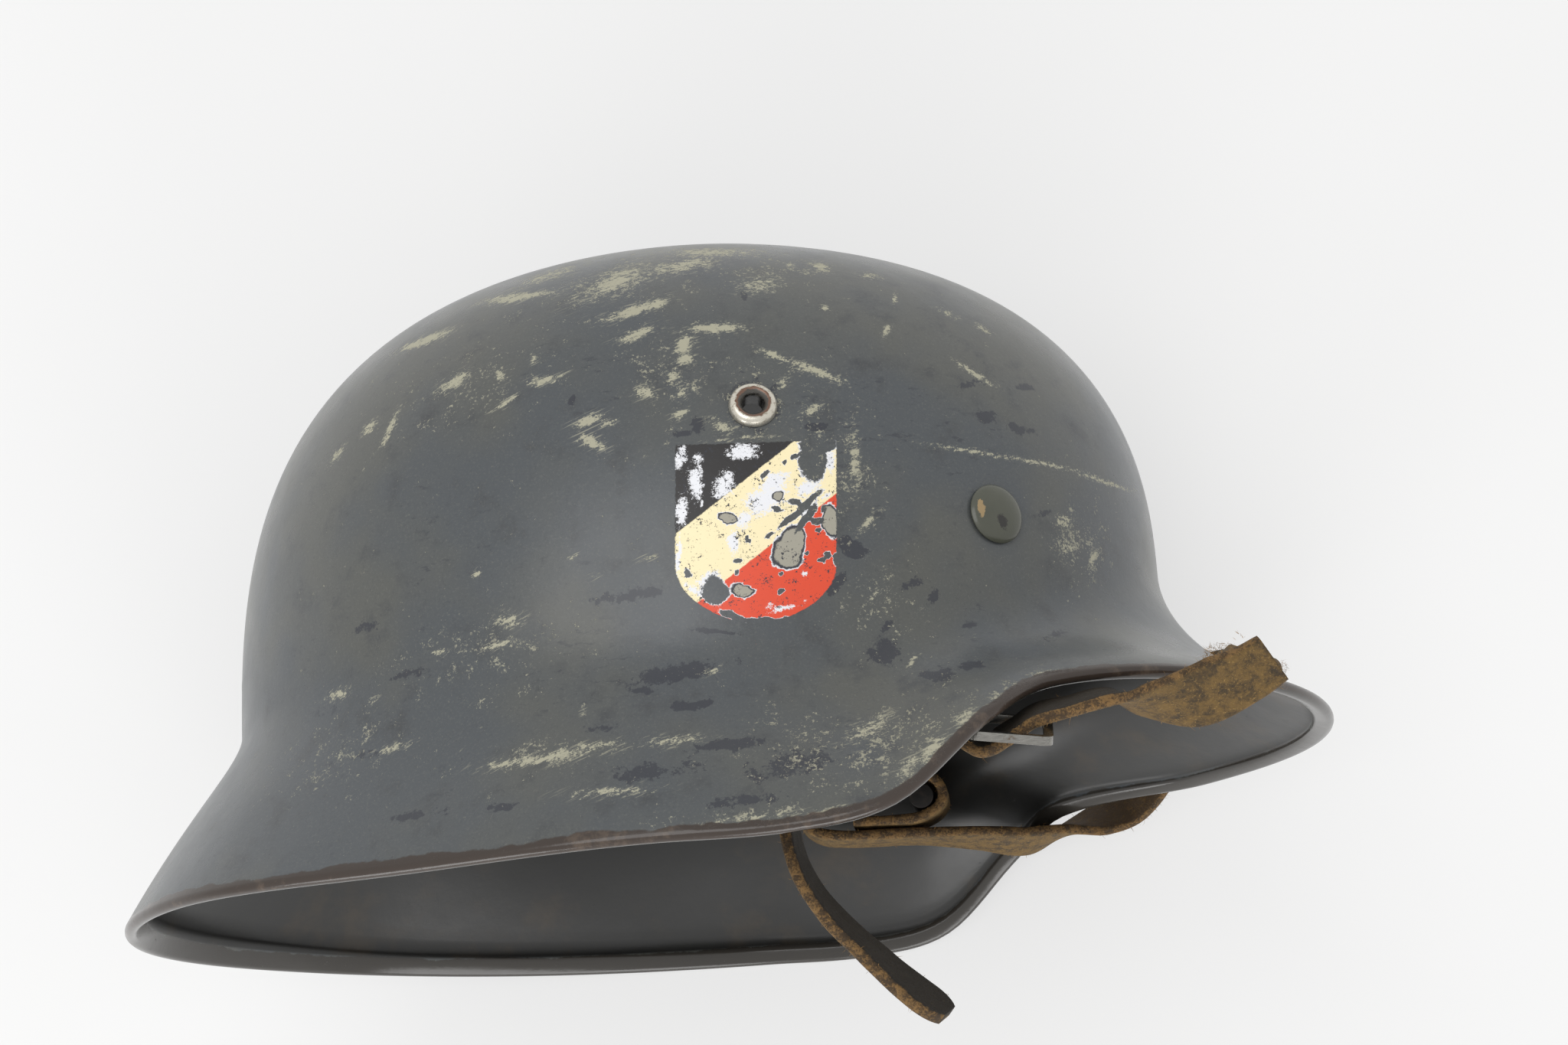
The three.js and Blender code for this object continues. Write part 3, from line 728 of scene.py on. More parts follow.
def chart_shield(piece):
    """Write the shield's outline, stripes and losses on the vertices."""
    shown = shown_outside(piece)
    chart = chart_place(vertex_places(piece)[shown])
    across, up = ((chart - SHIELD_CENTRE) * (1, -1) / SHIELD_SCALE).T
    ragged = wandering(np.column_stack([across, up, np.full_like(up, OFF_LATTICE)]), SHIELD_WANDERS)
    values = {
        "shield_depth": shield_depth(across, up),
        "shield_band": up * math.cos(STRIPE_TILT) - across * math.sin(STRIPE_TILT),
        "shield_gone": loss_strength(ragged, PAINT_GONE),
        "shield_bare": loss_strength(ragged, BARE_METAL),
        "shield_white": loss_strength(ragged, WHITE_LAYER),
    }
    for name, shown_values in values.items():
        everywhere = np.full(len(shown), FAR_AWAY, float)
        everywhere[shown] = shown_values
        write_attribute(piece, name, everywhere)
    print("shield covers", int((values["shield_depth"] > 0).sum()), "vertices")


chart_shield(shell)

# %% [markdown]
# ## Small helpers for materials
# A material is a graph of nodes. These helpers add a node, join sockets and name the few
# operations that the finishes share: sums and products, a soft step, a blend of two colours and
# a noise of a given grain in millimetres.

# %% Node helpers
NOISE_RANGE = (0.25, 0.75)


def srgb(red, green, blue):
    """Colour as read from the photograph, 0 to 255, as the linear values that nodes use."""
    share = np.array([red, green, blue]) / 255
    linear = np.where(share <= 0.04045, share / 12.92, ((share + 0.055) / 1.055) ** 2.4)
    return (*linear.tolist(), 1.0)


def join(tree, value, socket):
    """Link a socket to another, or set its value."""
    if isinstance(value, bpy.types.NodeSocket):
        tree.links.new(value, socket)
    else:
        socket.default_value = value


def add(tree, kind, settings=None, **sockets):
    node = tree.nodes.new("ShaderNode" + kind)
    for key, value in (settings or {}).items():
        setattr(node, key, value)
    for key, value in sockets.items():
        join(tree, value, node.inputs[key.replace("_", " ")])
    return node


def operator(operation):
    """Function that adds a Math node, with the second value scaled first if there is a factor."""
    def combine(tree, first, second=0.0, factor=None):
        if factor is not None:
            second = times(tree, second, factor)
        node = add(tree, "Math", {"operation": operation})
        join(tree, first, node.inputs[0])
        join(tree, second, node.inputs[1])
        return node.outputs[0]
    return combine


times = operator("MULTIPLY")
plus = operator("ADD")
minus = operator("SUBTRACT")
most = operator("MAXIMUM")
without_sign = operator("ABSOLUTE")


def step(tree, value, low, high):
    node = add(tree, "MapRange", {"interpolation_type": "SMOOTHSTEP"},
               Value=value, From_Min=low, From_Max=high)
    return node.outputs["Result"]


def spread(tree, value, low, high):
    """Noise, carried from the range that it mostly fills to another."""
    low_noise, high_noise = NOISE_RANGE
    node = add(tree, "MapRange", None, Value=value, From_Min=low_noise, From_Max=high_noise,
               To_Min=low, To_Max=high)
    return node.outputs["Result"]


def blend(tree, share, first, second):
    node = add(tree, "Mix", {"data_type": "RGBA"})
    join(tree, share, node.inputs[0])
    join(tree, first, node.inputs[6])
    join(tree, second, node.inputs[7])
    return node.outputs[2]


def read(tree, name):
    return add(tree, "Attribute", {"attribute_name": name}).outputs["Fac"]


def object_place(tree, stretch=(1, 1, 1), turn=(0, 0, 0)):
    """Object coordinates in which features are longer by the stretch, along turned axes."""
    spot = add(tree, "TexCoord").outputs["Object"]
    mapping = add(tree, "Mapping", {"vector_type": "TEXTURE"},
                  Vector=spot, Rotation=turn, Scale=stretch)
    return mapping.outputs["Vector"]


def grain(tree, place, size, detail=4.0, roughness=0.6):
    """Noise whose features are about that many millimetres across."""
    node = add(tree, "TexNoise", None,
               Vector=place, Scale=1 / MM / size, Detail=detail, Roughness=roughness)
    return node.outputs["Fac"]


def new_material(name):
    material = bpy.data.materials.new(name)
    material.use_nodes = True
    tree = material.node_tree
    return material, tree, tree.nodes["Principled BSDF"]


def dress(tree, shader, colour, roughness, metallic=0.0):
    """Give the shader its main values."""
    for socket, value in (("Base Color", colour), ("Roughness", roughness), ("Metallic", metallic)):
        join(tree, value, shader.inputs[socket])


def bump(tree, shader, height, distance, strength=1.0):
    node = add(tree, "Bump", None, Height=height, Distance=distance, Strength=strength)
    tree.links.new(node.outputs["Normal"], shader.inputs["Normal"])


print("node helpers ready")

# %% [markdown]
# ## Colours of the paint
# The paint is a satin grey. Its colours, and those of the shield, the hem and the inside, are
# named here once.

# %% Paint colours
PAINT_GREY = srgb(84, 85, 81)
PAINT_BLUE = srgb(75, 79, 82)
PAINT_DEEP = srgb(64, 66, 68)
PAINT_DUST = srgb(108, 109, 104)
DARK_STEEL = srgb(47, 49, 57)
SCUFF_PALE = srgb(166, 163, 142)
SCUFF_THIN = srgb(116, 117, 108)
SHIELD_BLACK = srgb(40, 38, 38)
SHIELD_CREAM = srgb(246, 232, 188)
SHIELD_RED = srgb(222, 74, 42)
SHIELD_WHITE = srgb(233, 234, 238)
BARE_GREY = srgb(160, 156, 142)
SCRATCH_TURN = (0, 0, math.radians(22))
HEM_BROWN = srgb(58, 49, 43)
HEM_RUBBED = srgb(94, 80, 68)
HEM_INNER = srgb(58, 55, 51)
# the inside's grey is partly the paint's own colour and partly painted shade of the hollow
INSIDE_SHADED_GREY = srgb(39, 39, 38)
INSIDE_STAIN = srgb(60, 52, 41)
print("paint colours set")

# %% [markdown]
# ## Paint and wear
# From bottom to top the layers are: the paint with its clouds and grit, dark worn marks and darker
# paint round the vent, pale scuffs, the shield, the dark brown hem and the inside, darker with
# painted shade and with its stains. Each layer is one function that takes the colour below it, so
# the order is easy to change.

# %% Paint and wear layers
def paint_layer(tree, place):
    clouds = grain(tree, place, 55, 3)
    mottle = grain(tree, place, 9, 5, 0.65)
    grit = step(tree, grain(tree, place, 0.9, 5, 0.7), 0.56, 0.68)
    colour = blend(tree, step(tree, clouds, 0.38, 0.62), PAINT_GREY, PAINT_BLUE)
    deep = plus(tree, step(tree, mottle, 0.5, 0.8), grit, 0.45)
    colour = blend(tree, deep, colour, PAINT_DEEP)
    dust = step(tree, grain(tree, place, 0.6, 4, 0.8), 0.5, 0.72)
    return blend(tree, times(tree, dust, 0.4), colour, PAINT_DUST)


def dark_layer(tree, place, colour):
    """Charted marks of dark steel and darker paint round the vent, and loose ones that lie along the
    rim.
    """
    coarse = grain(tree, place, 4, 6, 0.7)
    fine = grain(tree, place, 1.1, 4, 0.7)
    break_up = plus(tree, spread(tree, coarse, -0.4, 0.4), spread(tree, fine, -0.22, 0.22))
    charted = step(tree, plus(tree, read(tree, "dark_mark"), break_up), 0.42, 0.54)
    areas = step(tree, grain(tree, place, 26, 4), 0.5, 0.66)
    lying = grain(tree, object_place(tree, (2.6, 0.7, 1)), 3, 6, 0.75)
    loose = times(tree, areas, step(tree, lying, 0.57, 0.63))
    share = most(tree, charted, loose, 0.7)
    return blend(tree, times(tree, share, 0.8), colour, DARK_STEEL)


def sprinkle_layer(tree, place):
    """Fine specks, thick in the charted areas and rare elsewhere."""
    fine = grain(tree, place, 0.8, 5, 0.8)
    groups = grain(tree, place, 4, 4, 0.7)
    specks = plus(tree, times(tree, fine, 0.6), groups, 0.4)
    charted = times(tree, read(tree, "sprinkle"), 0.11)
    return step(tree, plus(tree, specks, charted), 0.62, 0.66)


def scuff_layer(tree, place, colour):
    """Pale strokes where the top coat is rubbed through, hairlines round them, and fine specks."""
    streaks = grain(tree, object_place(tree, (4, 0.6, 0.6), SCRATCH_TURN), 1.3, 6, 0.75)
    hairs = grain(tree, object_place(tree, (14, 0.4, 0.4), SCRATCH_TURN), 1.4, 3, 0.6)
    patchy = grain(tree, place, 1.5, 5, 0.75)
    grit = grain(tree, place, 0.45, 3, 0.7)
    break_up = plus(tree, spread(tree, streaks, -0.5, 0.5), spread(tree, patchy, -0.36, 0.36))
    break_up = plus(tree, break_up, spread(tree, grit, -0.28, 0.28))
    charted = read(tree, "scuff")
    amount = plus(tree, 0.5, step(tree, charted, 0.0, 0.35), 0.5)
    ragged = plus(tree, charted, times(tree, break_up, amount))
    thin = step(tree, ragged, 0.3, 0.7)
    lines = times(tree, step(tree, hairs, 0.58, 0.64), step(tree, charted, 0.04, 0.3))
    full = most(tree, step(tree, ragged, 0.56, 0.7), lines, 0.5)
    full = most(tree, full, sprinkle_layer(tree, place), 0.75)
    colour = blend(tree, times(tree, thin, 0.5), colour, SCUFF_THIN)
    return blend(tree, full, colour, SCUFF_PALE), full


print("layers of paint and wear ready")

# %% [markdown]
# ## The shield's paint
# The stripes are made first. The white ground coat, the bare metal and the flecks go over them,
# and what is left is laid on the helmet's paint.

# %% Shield layers
def shield_stripes(tree, rough):
    """Black, cream and red stripes with slightly uneven borders."""
    band = plus(tree, read(tree, "shield_band"), rough, 0.5)
    stripes = blend(tree, step(tree, band, -4.55, -4.25), SHIELD_RED, SHIELD_CREAM)
    return blend(tree, step(tree, band, 10.45, 10.75), stripes, SHIELD_BLACK)


def shield_layer(tree, place, colour):
    """The stripes, flaked to white, to bare metal and to the paint below."""
    fine = grain(tree, place, 0.6, 5, 0.75)
    coarse = grain(tree, place, 3.2, 6, 0.75)
    rough = plus(tree, spread(tree, fine, -0.3, 0.3), spread(tree, coarse, -0.3, 0.3))
    stripes = shield_stripes(tree, rough)
    flaking = spread(tree, grain(tree, place, 0.8, 6, 0.85), -0.6, 0.6)
    white = plus(tree, times(tree, read(tree, "shield_white"), 0.74), flaking)
    stripes = blend(tree, step(tree, white, 0.48, 0.54), stripes, SHIELD_WHITE)
    losses = plus(tree, read(tree, "shield_gone"), rough, 0.5)
    stripes = blend(tree, step(tree, losses, 0.3, 0.36), stripes, SHIELD_WHITE)
    bare = plus(tree, read(tree, "shield_bare"), rough, 0.3)
    stripes = blend(tree, step(tree, bare, 0.1, 0.16), stripes, SHIELD_WHITE)
    stripes = blend(tree, step(tree, bare, 0.16, 0.28), stripes, DARK_STEEL)
    stripes = blend(tree, step(tree, bare, 0.36, 0.5), stripes, BARE_GREY)
    flecks = plus(tree, fine, coarse, 0.8)
    stripes = blend(tree, step(tree, flecks, 1.02, 1.04), stripes, DARK_STEEL)
    gone = step(tree, losses, 0.36, 0.46)
    depth = plus(tree, read(tree, "shield_depth"), rough, 0.8)
    present = times(tree, step(tree, depth, 0.0, 0.3), minus(tree, 1.0, gone))
    return blend(tree, present, colour, stripes), present


print("shield layers ready")

# %% [markdown]
# ## Hem and inside
# Both read how far a point is from the edge, and whether it is inside.

# %% Hem and inside layers
def hem_layer(tree, place, colour):
    """Dark brown bead: the whole of it inside, a narrow uneven band of it outside."""
    uneven = spread(tree, grain(tree, place, 6, 5, 0.65), -0.6, 0.6)
    reach = spread(tree, grain(tree, place, 20, 4, 0.6), 2.6, 5.0)
    reach = plus(tree, reach, read(tree, "inside"), 3.0)
    within = minus(tree, plus(tree, reach, uneven), read(tree, "edge"))
    hem = step(tree, within, 0.0, 0.6)
    rubbed = step(tree, grain(tree, place, 11, 5, 0.7), 0.54, 0.66)
    brown = blend(tree, times(tree, rubbed, 0.6), HEM_BROWN, HEM_RUBBED)
    brown = blend(tree, read(tree, "inside"), brown, HEM_INNER)
    return blend(tree, hem, colour, brown), hem


def inside_layer(tree, place, colour):
    """Smoother and darker grey past the bead, partly painted shade of the hollow, with faint stains.
    """
    clouds = grain(tree, place, 24, 5, 0.65)
    stains = times(tree, step(tree, clouds, 0.5, 0.7), 0.6)
    # the darker inside grey is partly painted shade of the hollow
    plain = blend(tree, stains, INSIDE_SHADED_GREY, INSIDE_STAIN)
    past_hem = step(tree, read(tree, "edge"), 6.2, 7.0)
    share = times(tree, step(tree, read(tree, "inside"), 0.2, 0.8), past_hem)
    return blend(tree, share, colour, plain), share


print("hem and inside layers ready")

# %% [markdown]
# ## All layers together
# One material stacks the layers. Each also gives a share, from 0 to 1, that tells where it lies,
# and the shares make the scuffs duller, the hem glossier and the shield stand up a little.

# %% Helmet paint
def helmet_paint():
    material, tree, shader = new_material("helmet_paint")
    place = object_place(tree)
    colour = dark_layer(tree, place, paint_layer(tree, place))
    colour, scuffed = scuff_layer(tree, place, colour)
    colour, shield = shield_layer(tree, place, colour)
    colour, hem = hem_layer(tree, place, colour)
    colour, inner = inside_layer(tree, place, colour)
    satin = spread(tree, grain(tree, place, 16, 4), 0.24, 0.34)
    satin = plus(tree, satin, scuffed, 0.25)
    satin = plus(tree, satin, shield, 0.12)
    satin = minus(tree, satin, hem, 0.1)
    satin = plus(tree, satin, inner, 0.1)
    dress(tree, shader, colour, satin)
    peel = grain(tree, place, 1.1, 4, 0.6)
    dents = grain(tree, place, 18, 3, 0.5)
    height = plus(tree, times(tree, peel, 0.1), dents, 0.8)
    height = minus(tree, height, scuffed, 0.1)
    height = plus(tree, height, shield, 0.12)
    bump(tree, shader, height, 0.0004, 0.6)
    return material


PAINT = helmet_paint()
shell.data.materials.clear()
shell.data.materials.append(PAINT)
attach(shell, "root")
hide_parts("shell")
print("paint has", len(PAINT.node_tree.nodes), "nodes")

# %% [markdown]
# ## Vent bushings and rivets
# These are turned pieces, so each starts as half of its section: a line of vertices that
# `spin` carries once round the axis. The doubles on the seam and the axis are merged, and the
# normals are recalculated, because a spin can leave them pointing inwards.

# %% Turned outlines
SPIN_STEPS = 56
SMOOTH_ANGLE = math.radians(50)
GAP = 0.3
VENT_RADIUS = 5.3
VENT_BORE = 2.3
VENT_SHANK = 3.2
VENT_INSET = 0.9
VENT_LIP = 0.9
VENT_LIFT = 0.05
VENT_CROWN = 1.9
RIVET_RADIUS = 6.7
RIVET_RISE = 2.2
RIVET_LIFT = 0.1
RIVET_EDGE = 0.4
RIVET_SHANK = 1.5
CLINCH_RADIUS = 3.2
CLINCH_THICK = 0.8
# the rivet's low dome: height of its middle, and how far it keeps inside radius and rise
DOME_BASE = 0.55
DOME_INSET = 0.1
DOME_SINK = 0.45
INNER_FACE = -SHEET - 2 * GAP


def arc(centre, radii, start, end, count):
    """Points on an ellipse's arc; angles in degrees."""
    angles = np.radians(np.linspace(start, end, count))
    return [(centre[0] + radii[0] * math.cos(a), centre[1] + radii[1] * math.sin(a)) for a in angles]


def turned_piece(name, outline, matrix):
    """Outline of radius and height, spun about local +Z and carried to its place."""
    mesh = bpy.data.meshes.new(name)
    points = [(radius * MM, 0, height * MM) for radius, height in outline]
    mesh.from_pydata(points, [(i, i + 1) for i in range(len(points) - 1)], [])
    piece = bpy.data.objects.new(name, mesh)
    bpy.context.scene.collection.objects.link(piece)
    with editing(piece):
        bpy.ops.mesh.select_all(action="SELECT")
        bpy.ops.mesh.spin(steps=SPIN_STEPS, angle=2 * math.pi, center=(0, 0, 0), axis=(0, 0, 1))
    close_mesh(piece)
    local = vertex_places(piece)
    write_attribute(piece, "radius", np.hypot(local[:, 0], local[:, 1]) / MM)
    piece.data.transform(matrix)
    bpy.ops.object.shade_smooth_by_angle(angle=SMOOTH_ANGLE)
    print(name, "has", len(piece.data.polygons), "faces")
    return piece


def bushing_outline():
    """Rolled ring outside, shank through the sheet, flange inside, and the open bore."""
    middle = (VENT_RADIUS + VENT_BORE) / 2
    half = (VENT_RADIUS - VENT_BORE) / 2
    lip = VENT_RADIUS - VENT_INSET
    start = (VENT_BORE, INNER_FACE - VENT_LIP)
    outline = [start, (lip, INNER_FACE - VENT_LIP), (lip, INNER_FACE)]
    outline += [(VENT_SHANK, INNER_FACE), (VENT_SHANK, VENT_LIFT)]
    outline += arc((middle, VENT_LIFT), (half, VENT_CROWN), 0, 180, 15)
    return [*outline, start]


def rivet_outline():
    """Low dome with a rounded rim, shank through the sheet and clinched disc inside."""
    back = INNER_FACE - CLINCH_THICK
    rim = RIVET_RADIUS - RIVET_EDGE
    outline = [(0, back), (CLINCH_RADIUS, back), (CLINCH_RADIUS, INNER_FACE)]
    outline += [(RIVET_SHANK, INNER_FACE), (RIVET_SHANK, RIVET_LIFT), (rim, RIVET_LIFT)]
    outline += arc((rim, RIVET_LIFT + RIVET_EDGE), (RIVET_EDGE, RIVET_EDGE), -90, 20, 5)
    outline += arc((0, DOME_BASE), (RIVET_RADIUS - DOME_INSET, RIVET_RISE - DOME_SINK), 6, 90, 12)
    outline[-1] = (0, outline[-1][1])
    return outline


print("outline points:", len(bushing_outline()), "bushing,", len(rivet_outline()), "rivet")

# %% [markdown]
# ## Finishes of the fittings
# The vent's ring is rubbed bright and gets darker towards its bore, so its material reads the
# radius that was written on the vertices; the black of the bore is painted shade of the hole.
# The rivets are painted, with a chip charted on one.

# %% Fitting materials
VENT_PALE = srgb(214, 209, 196)
VENT_STAIN = srgb(150, 140, 124)
VENT_COPPER = srgb(120, 94, 80)
VENT_DULL = srgb(74, 71, 66)
# black of the bore: painted shade of the hole
BORE_SHADE_BLACK = srgb(12, 11, 10)
RIVET_OLIVE = srgb(70, 72, 62)
RIVET_LIGHT = srgb(84, 85, 74)
RIVET_WORN = srgb(44, 43, 40)
RIVET_CHIP = srgb(150, 128, 92)


def vent_steel():
    """Pale rubbed ring, copper brown where it turns in, and a black bore that is painted shade of the
    hole.
    """
    material, tree, shader = new_material("vent_steel")
    place = object_place(tree)
    spots = grain(tree, place, 1.0, 5, 0.7)
    uneven = plus(tree, read(tree, "radius"), spread(tree, spots, -0.35, 0.35))
    pale = blend(tree, step(tree, spots, 0.5, 0.7), VENT_PALE, VENT_STAIN)
    colour = blend(tree, step(tree, uneven, 3.7, 4.0), VENT_COPPER, pale)
    colour = blend(tree, step(tree, uneven, 3.1, 3.4), VENT_DULL, colour)
    # the bore's walls are painted black as shade of the hole
    colour = blend(tree, step(tree, uneven, 2.3, 2.6), BORE_SHADE_BLACK, colour)
    satin = spread(tree, spots, 0.22, 0.4)
    metal = times(tree, step(tree, uneven, 2.8, 3.8), 0.85)
    dress(tree, shader, colour, satin, metal)
    bump(tree, shader, spots, 0.0001, 0.5)
    return material


def rivet_paint():
    """Glossy olive grey with a chip or two."""
    material, tree, shader = new_material("rivet_paint")
    place = object_place(tree)
    uneven = spread(tree, grain(tree, place, 0.8, 4, 0.7), -0.25, 0.25)
    clouds = grain(tree, place, 5, 4)
    colour = blend(tree, clouds, RIVET_OLIVE, RIVET_LIGHT)
    worn = step(tree, plus(tree, read(tree, "dark_mark"), uneven), 0.4, 0.6)
    colour = blend(tree, worn, colour, RIVET_WORN)
    chips = step(tree, plus(tree, read(tree, "chip"), uneven), 0.4, 0.5)
    colour = blend(tree, chips, colour, RIVET_CHIP)
    dress(tree, shader, colour, spread(tree, clouds, 0.18, 0.3))
    bump(tree, shader, grain(tree, place, 0.8), 0.00006, 0.4)
    return material


VENT_STEEL = vent_steel()
RIVET = rivet_paint()
print("finishes:", VENT_STEEL.name, "and", RIVET.name)

# %% [markdown]
# ## Fittings in their places
# Both sides get a vent and a rivet, and a third rivet sits behind.

# %% Place the fittings
# columns as for the scuff strokes
RIVET_CHIPS = [(1252, 648, 13, 5, 100, 1.0)]
RIVET_DARK = [(1279, 665, 14, 7, 110, 0.9)]


def fit(piece, material, node):
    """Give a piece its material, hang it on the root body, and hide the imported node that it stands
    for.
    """
    piece.data.materials.clear()
    piece.data.materials.append(material)
    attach(piece, "root")
    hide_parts(node)


def chart_rivet(piece):
    """Wear on the rivet that the photograph shows."""
    chart = chart_place(vertex_places(piece))
    for attribute, strokes in (("chip", RIVET_CHIPS), ("dark_mark", RIVET_DARK)):
        write_attribute(piece, attribute, mark_strength(chart, strokes))


for side, sign in SIDES.items():
    vent = turned_piece("vent_ring_" + side, bushing_outline(), place_on_shell(VENT_PLACE, sign))
    fit(vent, VENT_STEEL, "vent_bushing_" + side)
    head = turned_piece("rivet_head_" + side, rivet_outline(), place_on_shell(SIDE_RIVET_PLACE, sign))
    fit(head, RIVET, "liner_rivet_" + side)
    if side == "right":
        chart_rivet(head)
rear = turned_piece("rivet_head_rear", rivet_outline(), place_on_shell(REAR_RIVET_PLACE, 1))
fit(rear, RIVET, "liner_rivet_rear")

# %% [markdown]
# ## Strap posts and buckle
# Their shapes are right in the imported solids, only too sharp. A copy of the solid is merged,
# its edges are rounded with a Bevel modifier, and the modifier is applied.

# %% Rounded copies
POST_ROUND = 0.4 * MM
BUCKLE_ROUND = 0.8 * MM
BEVEL_SEGMENTS = 4
BEVEL_ANGLE = math.radians(40)
FLAT_ANGLE = math.radians(1)
PLATE_DARK = srgb(104, 102, 98)
PLATE_PALE = srgb(172, 170, 164)
PLATE_SPOT = srgb(110, 96, 82)
# near-black of the posts: partly the steel's own colour, partly painted shade deep in the shell
STEEL_BLACK_SHADED = srgb(20, 18, 17)
STEEL_BROWN = srgb(40, 33, 28)


def rounded_copy(name, node, width):
    """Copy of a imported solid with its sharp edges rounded."""
    piece = bpy.data.objects.new(name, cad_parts[node].data.copy())
    piece.data.name = name
    bpy.context.scene.collection.objects.link(piece)
    close_mesh(piece)
    with editing(piece):
        bpy.ops.mesh.select_all(action="SELECT")
        bpy.ops.mesh.dissolve_limited(angle_limit=FLAT_ANGLE)
    bevel = piece.modifiers.new("rounded", "BEVEL")
    bevel.width = width
    bevel.segments = BEVEL_SEGMENTS
    bevel.limit_method = "ANGLE"
    bevel.angle_limit = BEVEL_ANGLE
    bpy.ops.object.modifier_apply(modifier=bevel.name)
    bpy.ops.object.shade_smooth_by_angle(angle=SMOOTH_ANGLE)
    print(name, "has", len(piece.data.polygons), "faces")
    return piece


def plated_wire():
    """Dull nickel plate with fine scratches."""
    material, tree, shader = new_material("plated_wire")
    place = object_place(tree)
    scratches = grain(tree, object_place(tree, (1, 0.17, 0.17)), 1.5, 4)
    colour = blend(tree, scratches, PLATE_DARK, PLATE_PALE)
    spots = step(tree, grain(tree, place, 2.5, 4), 0.62, 0.72)
    colour = blend(tree, spots, colour, PLATE_SPOT)
    dress(tree, shader, colour, spread(tree, scratches, 0.14, 0.3), 0.95)
    return material


def dull_steel():
    """Near-black steel of the posts, deep in the shell: partly the steel's own colour and partly
    painted shade.
    """
    material, tree, shader = new_material("dull_steel")
    spots = grain(tree, object_place(tree), 1.5, 5, 0.7)
    # the near-black is partly painted shade of the posts' place deep in the shell
    colour = blend(tree, step(tree, spots, 0.4, 0.7), STEEL_BLACK_SHADED, STEEL_BROWN)
    dress(tree, shader, colour, spread(tree, spots, 0.4, 0.6))
    return material


DULL = dull_steel()
PLATED = plated_wire()
for side in SIDES:
    node = "strap_post_" + side
    fit(rounded_copy("post_" + side, node, POST_ROUND), DULL, node)
buckle = rounded_copy("buckle_frame", "strap_buckle", BUCKLE_ROUND)
fit(buckle, PLATED, "strap_buckle")

# %% [markdown]
# ## Chin straps
# A strap is a flat band of leather with rounded edges, smooth grain on one face and brown suede
# on the other. Its route is a list of stations, given one by one, the same as in the imported
# solid: a point on the centre line, and the direction across the band. A smooth curve runs
# through both.

# %% Strap routes
STRAP_WIDTH = 15
STRAP_THICK = 2.6
# columns: x, y, z of the centre line, then the direction across from the near to the far edge
RIGHT_STRAP = [
    (51.5, -88, -87, 0.25, 0.91, 0.33), (44, -88, -80.5, 0.22, 0.93, 0.28),
    (37, -88, -73.5, 0.19, 0.96, 0.22), (30, -88, -66, 0.17, 0.97, 0.17),
    (24.5, -88, -57.5, 0.13, 0.98, 0.1), (21.8, -87, -48, 0.07, 0.99, 0.03),
    (22, -84, -36, 0, 1, 0), (26, -81, -24, 0, 1, 0),
    (32.5, -78, -14.5, 0, 1, 0), (38, -77, -10.6, 0, 1, 0),
    (43, -76.8, -9.6, 0, 1, 0), (47.6, -77.4, -13, 0, 1, 0),
    (51.5, -80.6, -19.5, 0, 0.98, 0.15), (57, -84.5, -27.5, 0, 0.94, 0.3),
    (63, -85.8, -31.5, 0, 0.93, 0.37), (68.7, -87.3, -29.5, 0, 0.93, 0.37),
    (74, -88.7, -26.8, 0, 0.93, 0.37), (81.6, -88.8, -25.3, 0, 0.94, 0.34),
    (89.7, -88, -23.8, 0.03, 0.95, 0.29), (96.4, -87.6, -25.3, 0.05, 0.99, -0.13),
    (106.9, -89.5, -25.6, 0.32, 0.73, -0.61), (116.8, -90.2, -21.5, 0.52, 0.64, -0.54),
    (122.9, -90.9, -17.6, 0.71, 0.55, -0.43),
]
# from the sewn end round the post and out under the rim; columns as above
LEFT_STRAP_SIDE = [
    (24, 77.2, -20.7, 0, 1, 0), (33, 77.2, -20.9, 0, 1, 0),
    (41, 77.2, -20.6, 0, 1, 0), (46.3, 77.2, -18, 0, 1, 0),
    (47.6, 77.2, -14.3, 0, 1, 0), (45.4, 77.2, -10.7, 0, 1, 0),
    (41, 77.2, -9.6, 0, 1, 0), (32, 77.2, -9.2, 0, 1, 0),
    (20, 77.2, -9.6, 0, 1, 0), (12.5, 77.2, -12.3, 0, 1, 0),
    (10, 77.2, -17, 0, 1, 0), (13, 77.2, -22, 0, 1, 0),
    (21, 77.2, -24.1, 0, 1, 0), (40, 79.5, -24.3, 0, 1, 0),
    (57, 82, -25.6, 0, 0.98, -0.15), (69, 86.2, -26.6, 0, 0.95, -0.2),
    (80, 90.5, -23.6, 0, 0.95, 0.25), (89, 92, -20.8, -0.1, 0.75, 0.66),
    (96.5, 89.5, -16.4, -0.5, 0.5, 0.7), (103.5, 81.5, -8.4, -0.6, 0.35, 0.7),
]
# stretch over the visor; columns: azimuth, station of the flare
VISOR_ROUTE = [(30, 1.56), (22, 1.54), (12, 1.5), (0, 1.54), (-10, 1.65), (-20, 1.78)]
VISOR_LIFT = 1.8
# end over the near rim; columns as for the right strap
LEFT_STRAP_END = [
    (119.8, -54.5, -11.6, -0.87, 0.25, 0.42), (118.8, -63, -13.4, -0.9, 0.12, 0.4),
    (117.5, -71.5, -15.9, -0.92, 0.04, 0.3), (116.2, -78.5, -18.8, -0.95, 0, 0),
    (115, -84, -19.6, -0.93, 0, -0.37),
]


def visor_stations():
    """Stations just above the outer face of the visor."""
    rows = []
    for azimuth, station in VISOR_ROUTE:
        normal, down = outer_axes(float(azimuth), np.float64(station))
        point = outer_point(azimuth, station) + normal * (STRAP_THICK / 2 + VISOR_LIFT)
        rows.append((*point, *(-down)))
    return rows


